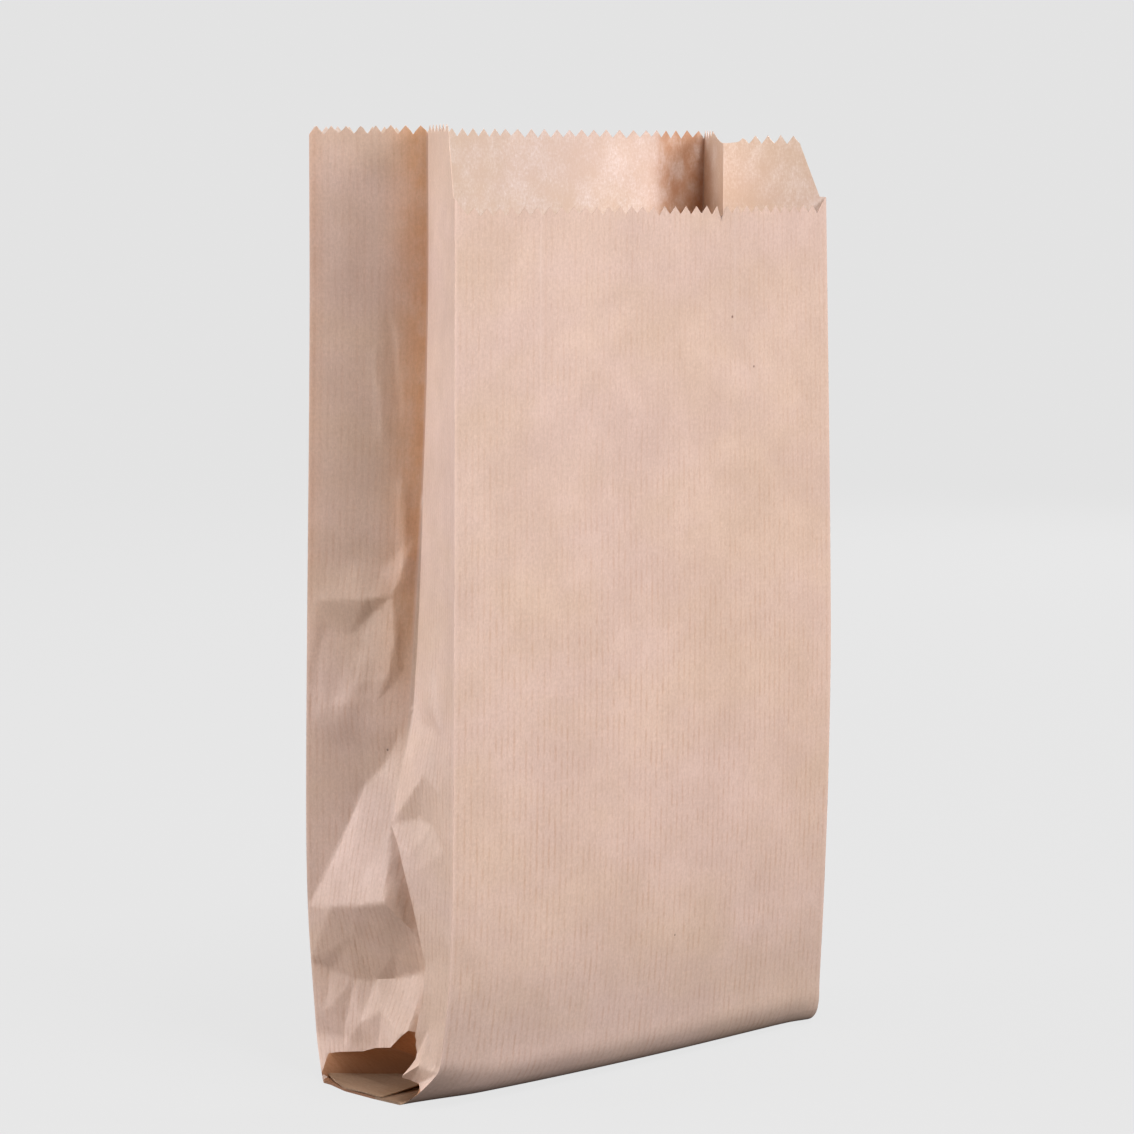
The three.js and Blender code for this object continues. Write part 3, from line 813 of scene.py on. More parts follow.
class Nodes:
    """Short way to add and join the nodes of one material."""

    def __init__(self, name: str) -> None:
        """Makes an empty material with one shader.

        Args:
            name: Name of the material.
        """
        self.material = bpy.data.materials.new(name)
        self.material.use_nodes = True
        self.tree = self.material.node_tree
        self.tree.nodes.clear()
        self.output = self.tree.nodes.new("ShaderNodeOutputMaterial")
        self.shader = self.tree.nodes.new("ShaderNodeBsdfPrincipled")
        self.join(self.shader.outputs["BSDF"], self.output.inputs["Surface"])

    def join(self, start: Socket, end: Socket) -> None:
        """Links two sockets."""
        self.tree.links.new(start, end)

    def feed(self, socket: Socket, value: object) -> None:
        """Puts a number, a colour or another node's output into a socket.

        Args:
            socket: Socket to fill.
            value: What goes in.
        """
        if isinstance(value, Socket):
            self.join(value, socket)
        else:
            socket.default_value = value

    def math(self, kind: str, a: object, b: object = 0.0, c: object = 0.0) -> Socket:
        """Adds a Math node.

        Args:
            kind: Operation.
            a: First value.
            b: Second value.
            c: Third value.

        Returns:
            The node's output.
        """
        node = self.tree.nodes.new("ShaderNodeMath")
        node.operation = kind
        for socket, value in zip(node.inputs, (a, b, c)):
            self.feed(socket, value)
        return node.outputs[0]

    def times(self, a: object, b: object) -> Socket:
        """Product of two values."""
        return self.math("MULTIPLY", a, b)

    def away(self, value: object, place: float) -> Socket:
        """Distance of a value from a place."""
        return self.math("ABSOLUTE", self.math("SUBTRACT", value, place))

    def noise(self, place: object, scale: float, detail: float = 3.0, rough: float = 0.5) -> Socket:
        """Adds a Noise node.

        Args:
            place: Coordinates.
            scale: Scale of the noise.
            detail: Number of finer layers.
            rough: Weight of the finer layers.

        Returns:
            The noise's value.
        """
        node = self.tree.nodes.new("ShaderNodeTexNoise")
        self.feed(node.inputs["Vector"], place)
        node.inputs["Scale"].default_value = scale
        node.inputs["Detail"].default_value = detail
        node.inputs["Roughness"].default_value = rough
        return node.outputs[0]

    def stretch(self, place: object, scale: tuple[float, float, float]) -> Socket:
        """Adds a Mapping node that stretches coordinates.

        Args:
            place: Coordinates.
            scale: Factor of each axis.

        Returns:
            The stretched coordinates.
        """
        node = self.tree.nodes.new("ShaderNodeMapping")
        self.feed(node.inputs["Vector"], place)
        node.inputs["Scale"].default_value = scale
        return node.outputs[0]

    def ramp(self, value: object, low: float, high: float, to_low: float = 0.0,
             to_high: float = 1.0) -> Socket:
        """Adds a Map Range node with a smooth step.

        Args:
            value: Value to map.
            low: Start of the range.
            high: End of the range.
            to_low: Result at the start.
            to_high: Result at the end.

        Returns:
            The mapped value.
        """
        node = self.tree.nodes.new("ShaderNodeMapRange")
        node.interpolation_type = "SMOOTHSTEP"
        for socket, number in zip(node.inputs, (value, low, high, to_low, to_high)):
            self.feed(socket, number)
        return node.outputs[0]

    def blend(self, factor: object, a: object, b: object, kind: str = "MIX") -> Socket:
        """Adds a colour Mix node.

        Args:
            factor: Share of the second colour.
            a: First colour.
            b: Second colour.
            kind: Blend type.

        Returns:
            The mixed colour.
        """
        node = self.tree.nodes.new("ShaderNodeMix")
        node.data_type = "RGBA"
        node.blend_type = kind
        self.feed(node.inputs[0], factor)
        self.feed(node.inputs[6], a)
        self.feed(node.inputs[7], b)
        return node.outputs[2]

    def bump(self, height: object, distance: float, strength: float, under: object = None) -> Socket:
        """Adds a Bump node.

        Args:
            height: Height of the relief, 0 to 1.
            distance: What 1 stands for, in metres.
            strength: Strength of the relief.
            under: Normal that it is laid over.

        Returns:
            The changed normal.
        """
        node = self.tree.nodes.new("ShaderNodeBump")
        node.inputs["Strength"].default_value = strength
        node.inputs["Distance"].default_value = distance
        self.feed(node.inputs["Height"], height)
        if under is not None:
            self.feed(node.inputs["Normal"], under)
        return node.outputs[0]


class PaperNodes(Nodes):
    """Nodes of one paper, with places on the flat sheet and the noises that its looks share.

    uv is the place on the flat sheet in metres, across and up are its two parts, and fine, fibres
    and blots are noises from the finest to the coarsest.
    """

    def __init__(self, name: str) -> None:
        """Starts the material.

        Args:
            name: Name of the material.
        """
        super().__init__(name)
        self.uv = self.tree.nodes.new("ShaderNodeTexCoord").outputs["UV"]
        parts = self.tree.nodes.new("ShaderNodeSeparateXYZ")
        self.join(self.uv, parts.inputs[0])
        self.across, self.up = parts.outputs[0], parts.outputs[1]
        self.fine = self.noise(self.uv, 900.0, 3.0, 0.65)
        self.fibres = self.noise(self.stretch(self.uv, (2600, 420, 1)), 1.0, 3.0, 0.6)
        self.blots = self.noise(self.stretch(self.uv, (1.0, 0.7, 1)), 110.0, 3.0, 0.6)


SHEET_WIDTH = sum(cut.width for cut in CUTS.values())
UPRIGHT_FOLDS = tuple(cut.start * MM for cut in CUTS.values()) + (SHEET_WIDTH * MM,)
GUSSET_MIDDLES = tuple((CUTS[side].start + CUTS[side].width / 2) * MM for side in GUSSETS)
GROOVE_PAINTED_SHADE = (0.90, 0.82, 0.76, 1)
YELLOW_TINT = (1.0, 1.0, 0.91, 1)
FIBRE_TINT = (0.62, 0.5, 0.42, 1)
POCKET_PAINTED_SHADE_TONE = (0.12, 0.055, 0.03, 1)
MARK_TONE = (0.84, 0.70, 0.64, 1)
SPECK_TONE = (0.16, 0.08, 0.06, 1)


@dataclass(frozen=True)
class KraftPaper:
    """Unbleached kraft paper, smoothed on one face and finely ribbed along the bag.

    Attributes:
        name: Name of the material.
        pale: Colour of its palest places.
        deep: Colour of its deepest places.
        rib: How strongly the fine upright ribs show, as bump and as painted shade in their grooves.
        cloud: How strongly it is mottled.
        speck: How strongly dark fibres and specks show.
        roughness: Mean roughness.
        rib_pitch: Distance between the ribs, in metres.
        painted_pocket_shade: How strongly painted shade darkens it towards the end of a pocket.
        painted_fold_shade: Strips of painted shade beside folds, browned as by light bounced between the
            sheets: where each starts, is full and ends, and its strength.
        painted_shade_tint: Colour of that painted shade, which those strips are multiplied by.
        lines: Pale upright marks of the folding machine, up to the edge: place across, lower end.
        specks: Dark bits in the pulp: place across, place up, and radius.
    """

    name: str
    pale: tuple[float, float, float, float]
    deep: tuple[float, float, float, float]
    rib: float
    cloud: float
    speck: float
    roughness: float
    rib_pitch: float = 0.00287
    painted_pocket_shade: float = 0.0
    painted_fold_shade: tuple[tuple[float, float, float, float], ...] = ()
    painted_shade_tint: tuple[float, float, float, float] = (1.0, 0.74, 0.5, 1)
    lines: tuple[tuple[float, float], ...] = ()
    specks: tuple[tuple[float, float, float], ...] = ()

    def build(self) -> bpy.types.Material:
        """Makes the material.

        Returns:
            The material.
        """
        n = PaperNodes(self.name)
        grooves = self.ribs(n)
        # The ribs' grooves are darkened with painted shade, besides their bump below.
        colour = n.blend(n.times(grooves, self.rib), self.pulp(n), GROOVE_PAINTED_SHADE, "MULTIPLY")
        colour = self.marks(n, self.folds(n, colour))
        # Painted shade: the paper darkens towards the end of a pocket, where light hardly reaches.
        if self.painted_pocket_shade:
            colour = n.blend(n.ramp(n.up, 0.014, -0.004, 0.0, self.painted_pocket_shade), colour, POCKET_PAINTED_SHADE_TONE)
        n.join(colour, n.shader.inputs["Base Color"])
        gloss = n.math("MULTIPLY_ADD", n.blots, 0.2, self.roughness - 0.1)
        n.join(gloss, n.shader.inputs["Roughness"])
        n.shader.inputs["Specular IOR Level"].default_value = 0.45
        grain = n.bump(n.fibres, 0.00005, 0.6)
        ribs = n.bump(n.math("SUBTRACT", 1.0, grooves), 0.00006 * self.rib, 0.8, grain)
        n.join(n.bump(n.blots, 0.0003, 0.22, ribs), n.shader.inputs["Normal"])
        return n.material

    def ribs(self, n: PaperNodes) -> Socket:
        """Fine upright ribs that come and go.

        Args:
            n: The material's nodes.

        Returns:
            1 in the grooves to 0 between them.
        """
        sway = n.noise(n.stretch(n.uv, (90, 14, 1)), 1.0, 2.0)
        swayed = n.math("MULTIPLY_ADD", sway, 0.0010, n.across)
        phase = n.math("FRACT", n.math("DIVIDE", swayed, self.rib_pitch))
        ridge = n.math("ABSOLUTE", n.math("MULTIPLY_ADD", phase, 2.0, -1.0))
        broken = n.ramp(n.noise(n.stretch(n.uv, (520, 150, 1)), 1.0, 3.0, 0.6), 0.34, 0.66, 0.0, 1.3)
        patchy = n.ramp(n.noise(n.uv, 34.0, 2.0), 0.3, 0.62, 0.45, 1.0)
        shown = n.times(n.times(broken, patchy), n.ramp(n.up, 0.1, 0.27, 1.0, 0.55))
        return n.times(n.ramp(ridge, 0.35, 0.95), shown)

    def pulp(self, n: PaperNodes) -> Socket:
        """Mottled colour of the pulp.

        Args:
            n: The material's nodes.

        Returns:
            The colour.
        """
        clouds = n.ramp(n.noise(n.uv, 26.0, 4.0, 0.55), 0.3, 0.7)
        tone = n.math("MULTIPLY_ADD", clouds, 0.16, n.times(n.blots, self.cloud))
        tone = n.math("MULTIPLY_ADD", n.fibres, 0.55, tone)
        tone = n.math("MULTIPLY_ADD", n.fine, 0.60, tone)
        colour = n.blend(n.ramp(tone, 0.365, 1.115), self.pale, self.deep)
        yellow = n.noise(n.stretch(n.uv, (9, 16, 1)), 1.0, 4.0, 0.6)
        colour = n.blend(n.ramp(yellow, 0.35, 0.65, 0.0, 0.8), colour, YELLOW_TINT, "MULTIPLY")
        bits = n.ramp(n.noise(n.stretch(n.uv, (1.0, 0.55, 1)), 1500.0, 2.0, 0.7), 0.66, 0.78)
        return n.blend(n.times(bits, self.speck), colour, FIBRE_TINT, "MULTIPLY")

    def folds(self, n: PaperNodes, colour: Socket) -> Socket:
        """Wear along the upright folds and the gussets' middle folds, and strips of painted shade beside
        them.

        Args:
            n: The material's nodes.
            colour: Colour of the sheet.

        Returns:
            The changed colour.
        """
        for place in UPRIGHT_FOLDS:
            worn = n.ramp(n.away(n.across, place), 0.0002, 0.0016, 0.3, 0.0)
            worn = n.times(worn, n.ramp(n.blots, 0.3, 0.65, 0.2, 1.0))
            colour = n.blend(worn, colour, tuple(min(1.0, 1.16 * v) for v in self.pale[:3]) + (1,))
        # Painted shade: strips beside some folds are multiplied by a brown tint.
        for start, full, end, strength in self.painted_fold_shade:
            within = n.math("COMPARE", n.across, 0.5 * (start + end), 0.5 * abs(end - start))
            painted_strip = n.times(n.ramp(n.across, start, full, 0.0, strength), within)
            painted_strip = n.times(painted_strip, n.ramp(n.blots, 0.3, 0.62, 1.0 - self.speck, 1.0))
            painted_strip = n.times(painted_strip, n.ramp(n.up, 0.10, 0.22))
            colour = n.blend(painted_strip, colour, self.painted_shade_tint, "MULTIPLY")
        for place in GUSSET_MIDDLES:
            worn = n.ramp(n.away(n.across, place), 0.0002, 0.0011, 0.66 * self.rib, 0.0)
            colour = n.blend(n.times(worn, n.ramp(n.up, 0.12, 0.2)), colour, self.pale)
        return colour

    def marks(self, n: PaperNodes, colour: Socket) -> Socket:
        """Pale marks of the folding machine, and dark specks.

        Args:
            n: The material's nodes.
            colour: Colour of the sheet.

        Returns:
            The changed colour.
        """
        for place, low in self.lines:
            mark = n.ramp(n.away(n.across, place), 0.0001, 0.0008, 0.2, 0.0)
            mark = n.times(mark, n.ramp(n.blots, 0.3, 0.6, 0.3, 1.0))
            mark = n.times(mark, n.ramp(n.up, low - 0.012, low + 0.004))
            colour = n.blend(mark, colour, MARK_TONE)
        for place, height, radius in self.specks:
            dx, dz = n.math("SUBTRACT", n.across, place), n.math("SUBTRACT", n.up, height)
            away = n.math("SQRT", n.math("ADD", n.math("POWER", dx, 2.0), n.math("POWER", dz, 2.0)))
            colour = n.blend(n.ramp(away, 0.4 * radius, radius, 0.75, 0.0), colour, SPECK_TONE)
        return colour


# Its painted shade strips lie beside the left gusset's middle fold, on its back half, and beside its back
# fold.
OUTSIDE = KraftPaper(
    "kraft_outside", pale=(0.79, 0.595, 0.515, 1), deep=(0.60, 0.435, 0.36, 1), rib=0.75, cloud=0.3,
    speck=0.35, roughness=0.55, painted_fold_shade=((0.519, 0.541, 0.541, 1.0), (0.502, 0.494, 0.494, 0.3)),
    lines=((0.040, 0.252), (0.143, 0.270)),
    specks=(
        (0.1414, 0.2749, 0.0007), (0.1541, 0.2562, 0.0006), (0.1124, 0.0482, 0.0005),
        (0.5316, 0.1222, 0.0006),
    ),
)
# Its painted shade strip lies on the back panel beside the right gusset, which shades it there.
INSIDE = KraftPaper(
    "kraft_inside", pale=(0.85, 0.785, 0.79, 1), deep=(0.62, 0.465, 0.375, 1), rib=0.12, cloud=0.6,
    speck=0.7, roughness=0.66, painted_fold_shade=((0.327, 0.312, 0.2942, 1.0),), painted_shade_tint=(0.80, 0.57, 0.42, 1),
)
# Paper of the pockets: kraft paper darkened and browned with painted shade.
POCKET_SHADED_PAPER = KraftPaper(
    "kraft_pocket_painted_shade", pale=(0.68, 0.36, 0.20, 1), deep=(0.48, 0.23, 0.11, 1), rib=0.5, cloud=0.4,
    speck=0.4, roughness=0.7, painted_pocket_shade=0.62,
)
# Paper of the pockets' floors and the base flaps: kraft paper darkened with painted shade.
BASE_SHADED_PAPER = KraftPaper(
    "kraft_base_painted_shade", pale=(0.39, 0.265, 0.175, 1), deep=(0.26, 0.165, 0.105, 1), rib=0.5, cloud=0.4,
    speck=0.4, roughness=0.6,
)


# ---------------------------------------------------------------- pieces


def only(piece: bpy.types.Object) -> None:
    """Selects one object and makes it active.

    Args:
        piece: The object.
    """
    bpy.ops.object.select_all(action="DESELECT")
    piece.select_set(True)
    bpy.context.view_layer.objects.active = piece


def whole_mesh(piece: bpy.types.Object, action: str, **settings: object) -> None:
    """Runs one edit-mode operator on all of a piece.

    Args:
        piece: The piece.
        action: Name of the operator in bpy.ops.mesh.
        settings: Its settings.
    """
    only(piece)
    bpy.ops.object.mode_set(mode="EDIT")
    bpy.ops.mesh.select_all(action="SELECT")
    getattr(bpy.ops.mesh, action)(**settings)
    bpy.ops.object.mode_set(mode="OBJECT")


def shaped_grid(name: str, points: np.ndarray, uv: np.ndarray) -> bpy.types.Object:
    """Adds a grid and moves its points to the rows and columns of a table.

    Args:
        name: Name of the new object.
        points: Rows by columns by X, Y and Z, in millimetres.
        uv: Rows by columns by U and V, in millimetres.

    Returns:
        The shaped grid.
    """
    rows, columns = points.shape[:2]
    bpy.ops.object.select_all(action="DESELECT")
    bpy.ops.mesh.primitive_grid_add(x_subdivisions=columns - 1, y_subdivisions=rows - 1, size=1.0)
    grid = bpy.context.active_object
    grid.name = grid.data.name = name
    lay_out(grid.data, points.reshape(-1, 3), uv.reshape(-1, 2))
    return grid


def lay_out(mesh: bpy.types.Mesh, points: np.ndarray, uv: np.ndarray) -> None:
    """Sets the points and the UV map of a mesh.

    Args:
        mesh: The mesh, with a UV map.
        points: X, Y and Z of each point, in millimetres.
        uv: U and V of each point, in millimetres.
    """
    mesh.vertices.foreach_set("co", (points * MM).astype(np.float32).ravel())
    loops = np.zeros(len(mesh.loops), dtype=np.int32)
    mesh.loops.foreach_get("vertex_index", loops)
    mesh.uv_layers.active.data.foreach_set("uv", (uv[loops] * MM).astype(np.float32).ravel())
    mesh.update()


def thicken(piece: bpy.types.Object, paper: float, sharp_angle: float, lining: int = 0) -> None:
    """Gives a sheet its thickness, inwards, and smooth shading between its creases.

    Args:
        piece: The sheet.
        paper: Its thickness, in millimetres.
        sharp_angle: Angle from which a crease stays sharp, in degrees.
        lining: How many slots behind the outer face's finish the inner face's finish lies.
    """
    only(piece)
    solid = piece.modifiers.new("paper", "SOLIDIFY")
    solid.thickness = paper * MM
    solid.offset = -1
    solid.material_offset = lining
    bpy.ops.object.modifier_apply(modifier=solid.name)
    bpy.ops.object.shade_smooth_by_angle(angle=math.radians(sharp_angle))


def cut_sheet(name: str, faces: list[list[int]], points: np.ndarray, uv: np.ndarray) -> bpy.types.Object:
    """Makes a sheet of triangles.

    Args:
        name: Name of the new object.
        faces: The triangles.
        points: X, Y and Z of each point, in millimetres.
        uv: U and V of each point, in millimetres.

    Returns:
        The sheet.
    """
    mesh = bpy.data.meshes.new(name)
    mesh.from_pydata(points.tolist(), [], faces)
    mesh.uv_layers.new(name="UVMap")
    lay_out(mesh, points, uv)
    sheet = bpy.data.objects.new(name, mesh)
    bpy.context.collection.objects.link(sheet)
    return sheet


def join(pieces: list[bpy.types.Object], name: str) -> bpy.types.Object:
    """Joins pieces into one and merges their common points.

    Args:
        pieces: The pieces.
        name: Name of the result.

    Returns:
        The joined piece.
    """
    bpy.ops.object.select_all(action="DESELECT")
    for piece in pieces:
        piece.select_set(True)
    bpy.context.view_layer.objects.active = pieces[0]
    bpy.ops.object.join()
    whole = bpy.context.active_object
    whole.name = whole.data.name = name
    whole_mesh(whole, "remove_doubles", threshold=SAME_POINT)
    return whole


@dataclass
class GussetPatch:
    """Lower part of one gusset, cut along its creases.

    Attributes:
        shape: Shape of the whole sheet.
        side: Left or right.
        spacing: Distance between points away from the creases, in millimetres.
        clear: How far those points stay from the creases.
        margin: How far points of creases stay inside the patch's limits.
        gap: How far they stay from the border's points.
        fold_end: Height at which the middle fold ends.
        fold_step: Length of the lines along it.
    """

    shape: SheetShape
    side: Side
    spacing: float = 1.6
    clear: float = 0.75
    margin: float = 0.3
    gap: float = 0.35
    fold_end: float = 125.0
    fold_step: float = 2.0

    def to_share(self, across: np.ndarray) -> np.ndarray:
        """Share of the gusset's width at some places across."""
        return from_back(self.side, across / CUTS[self.side].width)

    def build(self, border: np.ndarray) -> bpy.types.Object:
        """Makes the patch.

        Args:
            border: Places across and up along its border, in order.

        Returns:
            The patch.
        """
        crumple = CRUMPLES[self.side]
        ends = crumple.low.edges() + crumple.dents.edges() + self.middle_fold(crumple.lean)
        count = len(border)
        points = [Vector(p) for p in border]
        lines = ring_lines(count)
        samples = [border]
        for a, b in ends:
            steps = max(1, round(float(np.linalg.norm(b - a)) / self.spacing))
            line = [a + (b - a) * k / steps for k in range(steps + 1)]
            inside = [self.inside(p, border) for p in line]
            kept = [k for k in range(steps + 1) if inside[k]]
            for k in kept:
                points.append(Vector(line[k]))
                if k - 1 in kept:
                    lines.append((len(points) - 2, len(points) - 1))
            if kept:
                samples.append(np.array([line[k] for k in kept]))
        points += [Vector(p) for p in self.filling(border, np.concatenate(samples))]
        flat, faces = triangulate(points, lines, Cut.LINES, 1e-3)
        share = self.to_share(flat[:, 0])
        placed = self.shape.wall(self.side, np.clip(share, 0, 1), flat[:, 1])
        uv = np.stack([CUTS[self.side].start + share * CUTS[self.side].width, flat[:, 1]], -1)
        return cut_sheet("gusset", [face for face in faces if len(set(face)) == 3], placed, uv)

    def middle_fold(self, lean: float) -> list[tuple[np.ndarray, np.ndarray]]:
        """Short lines down the middle fold, as far as it stays whole.

        Args:
            lean: How far the fold leans to the front, as a share of the width.

        Returns:
            Both ends of each line.
        """
        width = CUTS[self.side].width
        places = [np.array([width / 2 + width * lean * float(smooth(np.array(up), *LEAN_SPAN)), up])
                  for up in np.arange(self.shape.net_top, self.fold_end, -self.fold_step)]
        return list(zip(places, places[1:]))

    def rim_height(self, across: float) -> float:
        """Height of the patch's lower border at a place across."""
        return float(self.shape.rim(self.side, self.to_share(np.array([across])))[0])

    def inside(self, place: np.ndarray, border: np.ndarray) -> bool:
        """Says whether a place lies in the patch and off its border.

        Args:
            place: Place across and up.
            border: Points of the border.

        Returns:
            True if a point may be put there.
        """
        across, up = place
        width, margin = CUTS[self.side].width, self.margin
        if not margin < across < width - margin or up > self.shape.net_top - margin:
            return False
        away = np.hypot(border[:, 0] - across, border[:, 1] - up).min()
        return up > self.rim_height(across) + margin and away > self.gap

    def filling(self, border: np.ndarray, taken: np.ndarray) -> np.ndarray:
        """Evenly spread points between the creases.

        Args:
            border: Border of the patch.
            taken: Points that are already there.

        Returns:
            The new points.
        """
        width = CUTS[self.side].width
        new = []
        for row, up in enumerate(np.arange(2.0, self.shape.net_top, self.spacing * 0.87)):
            offset = self.spacing * (0.5 if row % 2 else 1.0)
            across = np.arange(offset, width, self.spacing)
            rim = self.shape.rim(self.side, self.to_share(across))
            across = across[rim + self.clear < up]
            for place in across:
                if np.hypot(taken[:, 0] - place, taken[:, 1] - up).min() > self.clear:
                    new.append((place, up))
        return np.array(new)


@dataclass
class Underside:
    """Two glued flaps under the bag, with the pockets' folds pressed into them.

    Attributes:
        shape: Shape of the whole sheet.
        seam: Width of the step between the flaps, in millimetres.
        step: Height of that step.
        press: How deep the pockets' folds are pressed in.
        fold_ends: X of the folds' outer ends, and Y of the front one and of the back one.
        slope: How steeply the folds run out from their inner end.
        level: Distance from the rim at which the flaps reach their full relief.
        seam_row: X of the last point along the seam, and number of points.
        fill_row: The same for the points between the folds.
        fill_y: Y of those rows.
    """

    shape: SheetShape
    seam: float = 0.5
    step: float = 0.3
    press: float = 0.25
    fold_ends: tuple[float, float, float] = (96.0, -13.0, 24.0)
    slope: float = 1.2
    level: float = 2.0
    seam_row: tuple[float, int] = (98.0, 50)
    fill_row: tuple[float, int] = (92.0, 24)
    fill_y: tuple[float, ...] = (-12.0, 6.0, 16.0)

    def build(self) -> bpy.types.Object:
        """Makes the underside.

        Returns:
            The underside, without thickness.
        """
        shape = self.shape
        ring = np.concatenate([shape.contact(side, CUTS[side].shares)[:-1, :2] for side in Side])
        count = len(ring)
        front, back = shape.seam_y - self.seam, shape.seam_y
        tip = shape.side_contact - shape.pocket_depth
        out, fold_front, fold_back = self.fold_ends
        marks = []
        for sign in (-1, 1):
            marks += [(sign * tip, back), (sign * out, fold_front), (sign * out, fold_back)]
        for (reach, number), rows in ((self.seam_row, (front, back)), (self.fill_row, self.fill_y)):
            marks += [(x, y) for x in np.linspace(-reach, reach, number) for y in rows]
        lines = ring_lines(count)
        for inner_end in (count, count + 3):
            lines += [(inner_end + 1, inner_end), (inner_end, inner_end + 2)]
        points = [Vector(p) for p in ring] + [Vector(p) for p in marks]
        flat, faces = triangulate(points, lines, Cut.LINES, 1e-3)
        x, y = flat[:, 0], flat[:, 1]
        away = np.hypot(ring[:, 0] - x[:, None], ring[:, 1] - y[:, None]).min(1)
        inner = np.minimum(1.0, away / self.level)
        pocket = smooth(np.abs(x) - tip - np.abs(y - back) * self.slope, -0.5, 0.5)
        z = inner * (self.step * smooth(y, back, front) + self.press * pocket)
        uv = np.stack([x + PANEL_WIDTH / 2, y], -1)
        return cut_sheet("underside", faces, np.stack([x, y, z], -1), uv)


@dataclass
class PaperBag:
    """The whole sheet: walls, gussets, pockets and underside.

    Attributes:
        shape: Shape of the whole sheet, in millimetres as all that follows.
        paper: Thickness of the paper.
        sharp_angle: Angle from which a crease stays sharp, in degrees.
        front_place: A place on the front panel, in metres, whose face has to look forwards.
        teeth_room: Distance from the cut edge to the first row below the teeth.
        level_top: Height of the first row that is level all round.
        top_rows: Rows from the teeth to there.
        upper_rows: Rows from there to the crumpled part.
        lower_rows: Rows from there to the rim.
        roof_rows: Rows of a pocket's roof, and of its floor.
        edge_rows: Rows of the edge under that floor.
        roof_bow: How far the roof bows up.
        sink: How far a pocket's floor lies below the line that it is drawn to.
        floor_top: Least height of that floor.
    """

    shape: SheetShape
    paper: float = 0.18
    sharp_angle: float = 38
    front_place: tuple[float, float, float] = (0, -0.043, 0.2)
    teeth_room: float = 3.8
    level_top: float = 285.0
    top_rows: int = 12
    upper_rows: int = 34
    lower_rows: int = 72
    roof_rows: int = 9
    edge_rows: int = 3
    roof_bow: float = 2.0
    sink: float = 0.15
    floor_top: float = 0.9

    def build(self, outside: bpy.types.Material, inside: bpy.types.Material,
              pocket: bpy.types.Material, base: bpy.types.Material) -> bpy.types.Object:
        """Makes the bag.

        Args:
            outside: Finish of the outer face.
            inside: Finish of the inner face.
            pocket: Finish deep in the pockets: kraft paper darkened and browned with painted shade.
            base: Finish of the pockets' floors beside the front panel: kraft paper darkened with painted
                shade.

        Returns:
            The finished piece.
        """
        pieces = []
        for side in Side:
            pieces += self.side_pieces(side)
        pieces.append(Underside(self.shape).build())
        bag = join(pieces, "kraft_bag")
        self.face_outwards(bag)
        bag.data.materials.clear()
        # Slots 2 and 4 hold the papers with painted shade, for the pockets and their floors.
        for finish in (outside, inside, pocket, inside, base, inside):
            bag.data.materials.append(finish)
        marks = np.zeros(len(bag.data.polygons), dtype=np.int32)
        bag.data.attributes["pocket"].data.foreach_get("value", marks)
        bag.data.polygons.foreach_set("material_index", marks * 2)
        thicken(bag, self.paper, self.sharp_angle, lining=1)
        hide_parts("paper_bag")
        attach(bag, "root")
        return bag

    def upper_heights(self, side: Side) -> np.ndarray:
        """Heights of the rows from the toothed edge to the top of the crumpled part.

        Args:
            side: Side of the bag.

        Returns:
            Rows by columns of heights.
        """
        shape, share = self.shape, CUTS[side].shares
        edge = shape.edge(side, share)
        rows = [edge - shape.notch(side, share)]
        rows += [lerp(edge - self.teeth_room, self.level_top, k / self.top_rows)
                 for k in range(self.top_rows + 1)]
        rows += [np.full(len(share), lerp(self.level_top, shape.net_top, k / self.upper_rows))
                 for k in range(1, self.upper_rows + 1)]
        return np.array(rows)

    def lower_heights(self, side: Side) -> np.ndarray:
        """Heights of the rows from there to the rim.

        Args:
            side: Side of the bag.

        Returns:
            Rows by columns of heights.
        """
        shape, share = self.shape, CUTS[side].shares
        rim = shape.rim(side, share)
        return np.array([lerp(np.full(len(share), shape.net_top), rim, k / self.lower_rows)
                         for k in range(self.lower_rows + 1)])

    def flat_map(self, side: Side, up: np.ndarray) -> np.ndarray:
        """Places of a side's points on the flat sheet, from their places up it."""
        across = CUTS[side].start + CUTS[side].shares * CUTS[side].width
        return np.stack([np.broadcast_to(across, up.shape), up], -1)

    def side_pieces(self, side: Side) -> list[bpy.types.Object]:
        """Makes the pieces of one side.

        Args:
            side: Side of the bag.

        Returns:
            Its upper wall, its lower wall, and its turn under the bag or its pocket.
        """
        shape, share = self.shape, CUTS[side].shares
        upper, lower = self.upper_heights(side), self.lower_heights(side)
        pieces = [shaped_grid("upper", shape.wall(side, share, upper), self.flat_map(side, upper))]
        if side in PANELS:
            wall = shape.wall(side, share, lower)
            pieces.append(shaped_grid("lower", wall, self.flat_map(side, lower)))
        else:
            pieces.append(GussetPatch(shape, side).build(self.border(side, lower)))
        turned = self.turned_rows(side, lower[-1])
        length = np.vstack([np.zeros(len(share)),
                            np.cumsum(np.linalg.norm(np.diff(turned, axis=0), axis=2), axis=0)])
        turn = shaped_grid("turned", turned, self.flat_map(side, lower[-1] - length))
        if side not in PANELS:
            deep = self.roof_rows * (len(share) - 1)
            marks = [1 if face.center.y > shape.seam_y * MM or k < deep else 2
                     for k, face in enumerate(turn.data.polygons)]
            turn.data.attributes.new("pocket", "INT", "FACE").data.foreach_set("value", marks)
        pieces.append(turn)
        return pieces

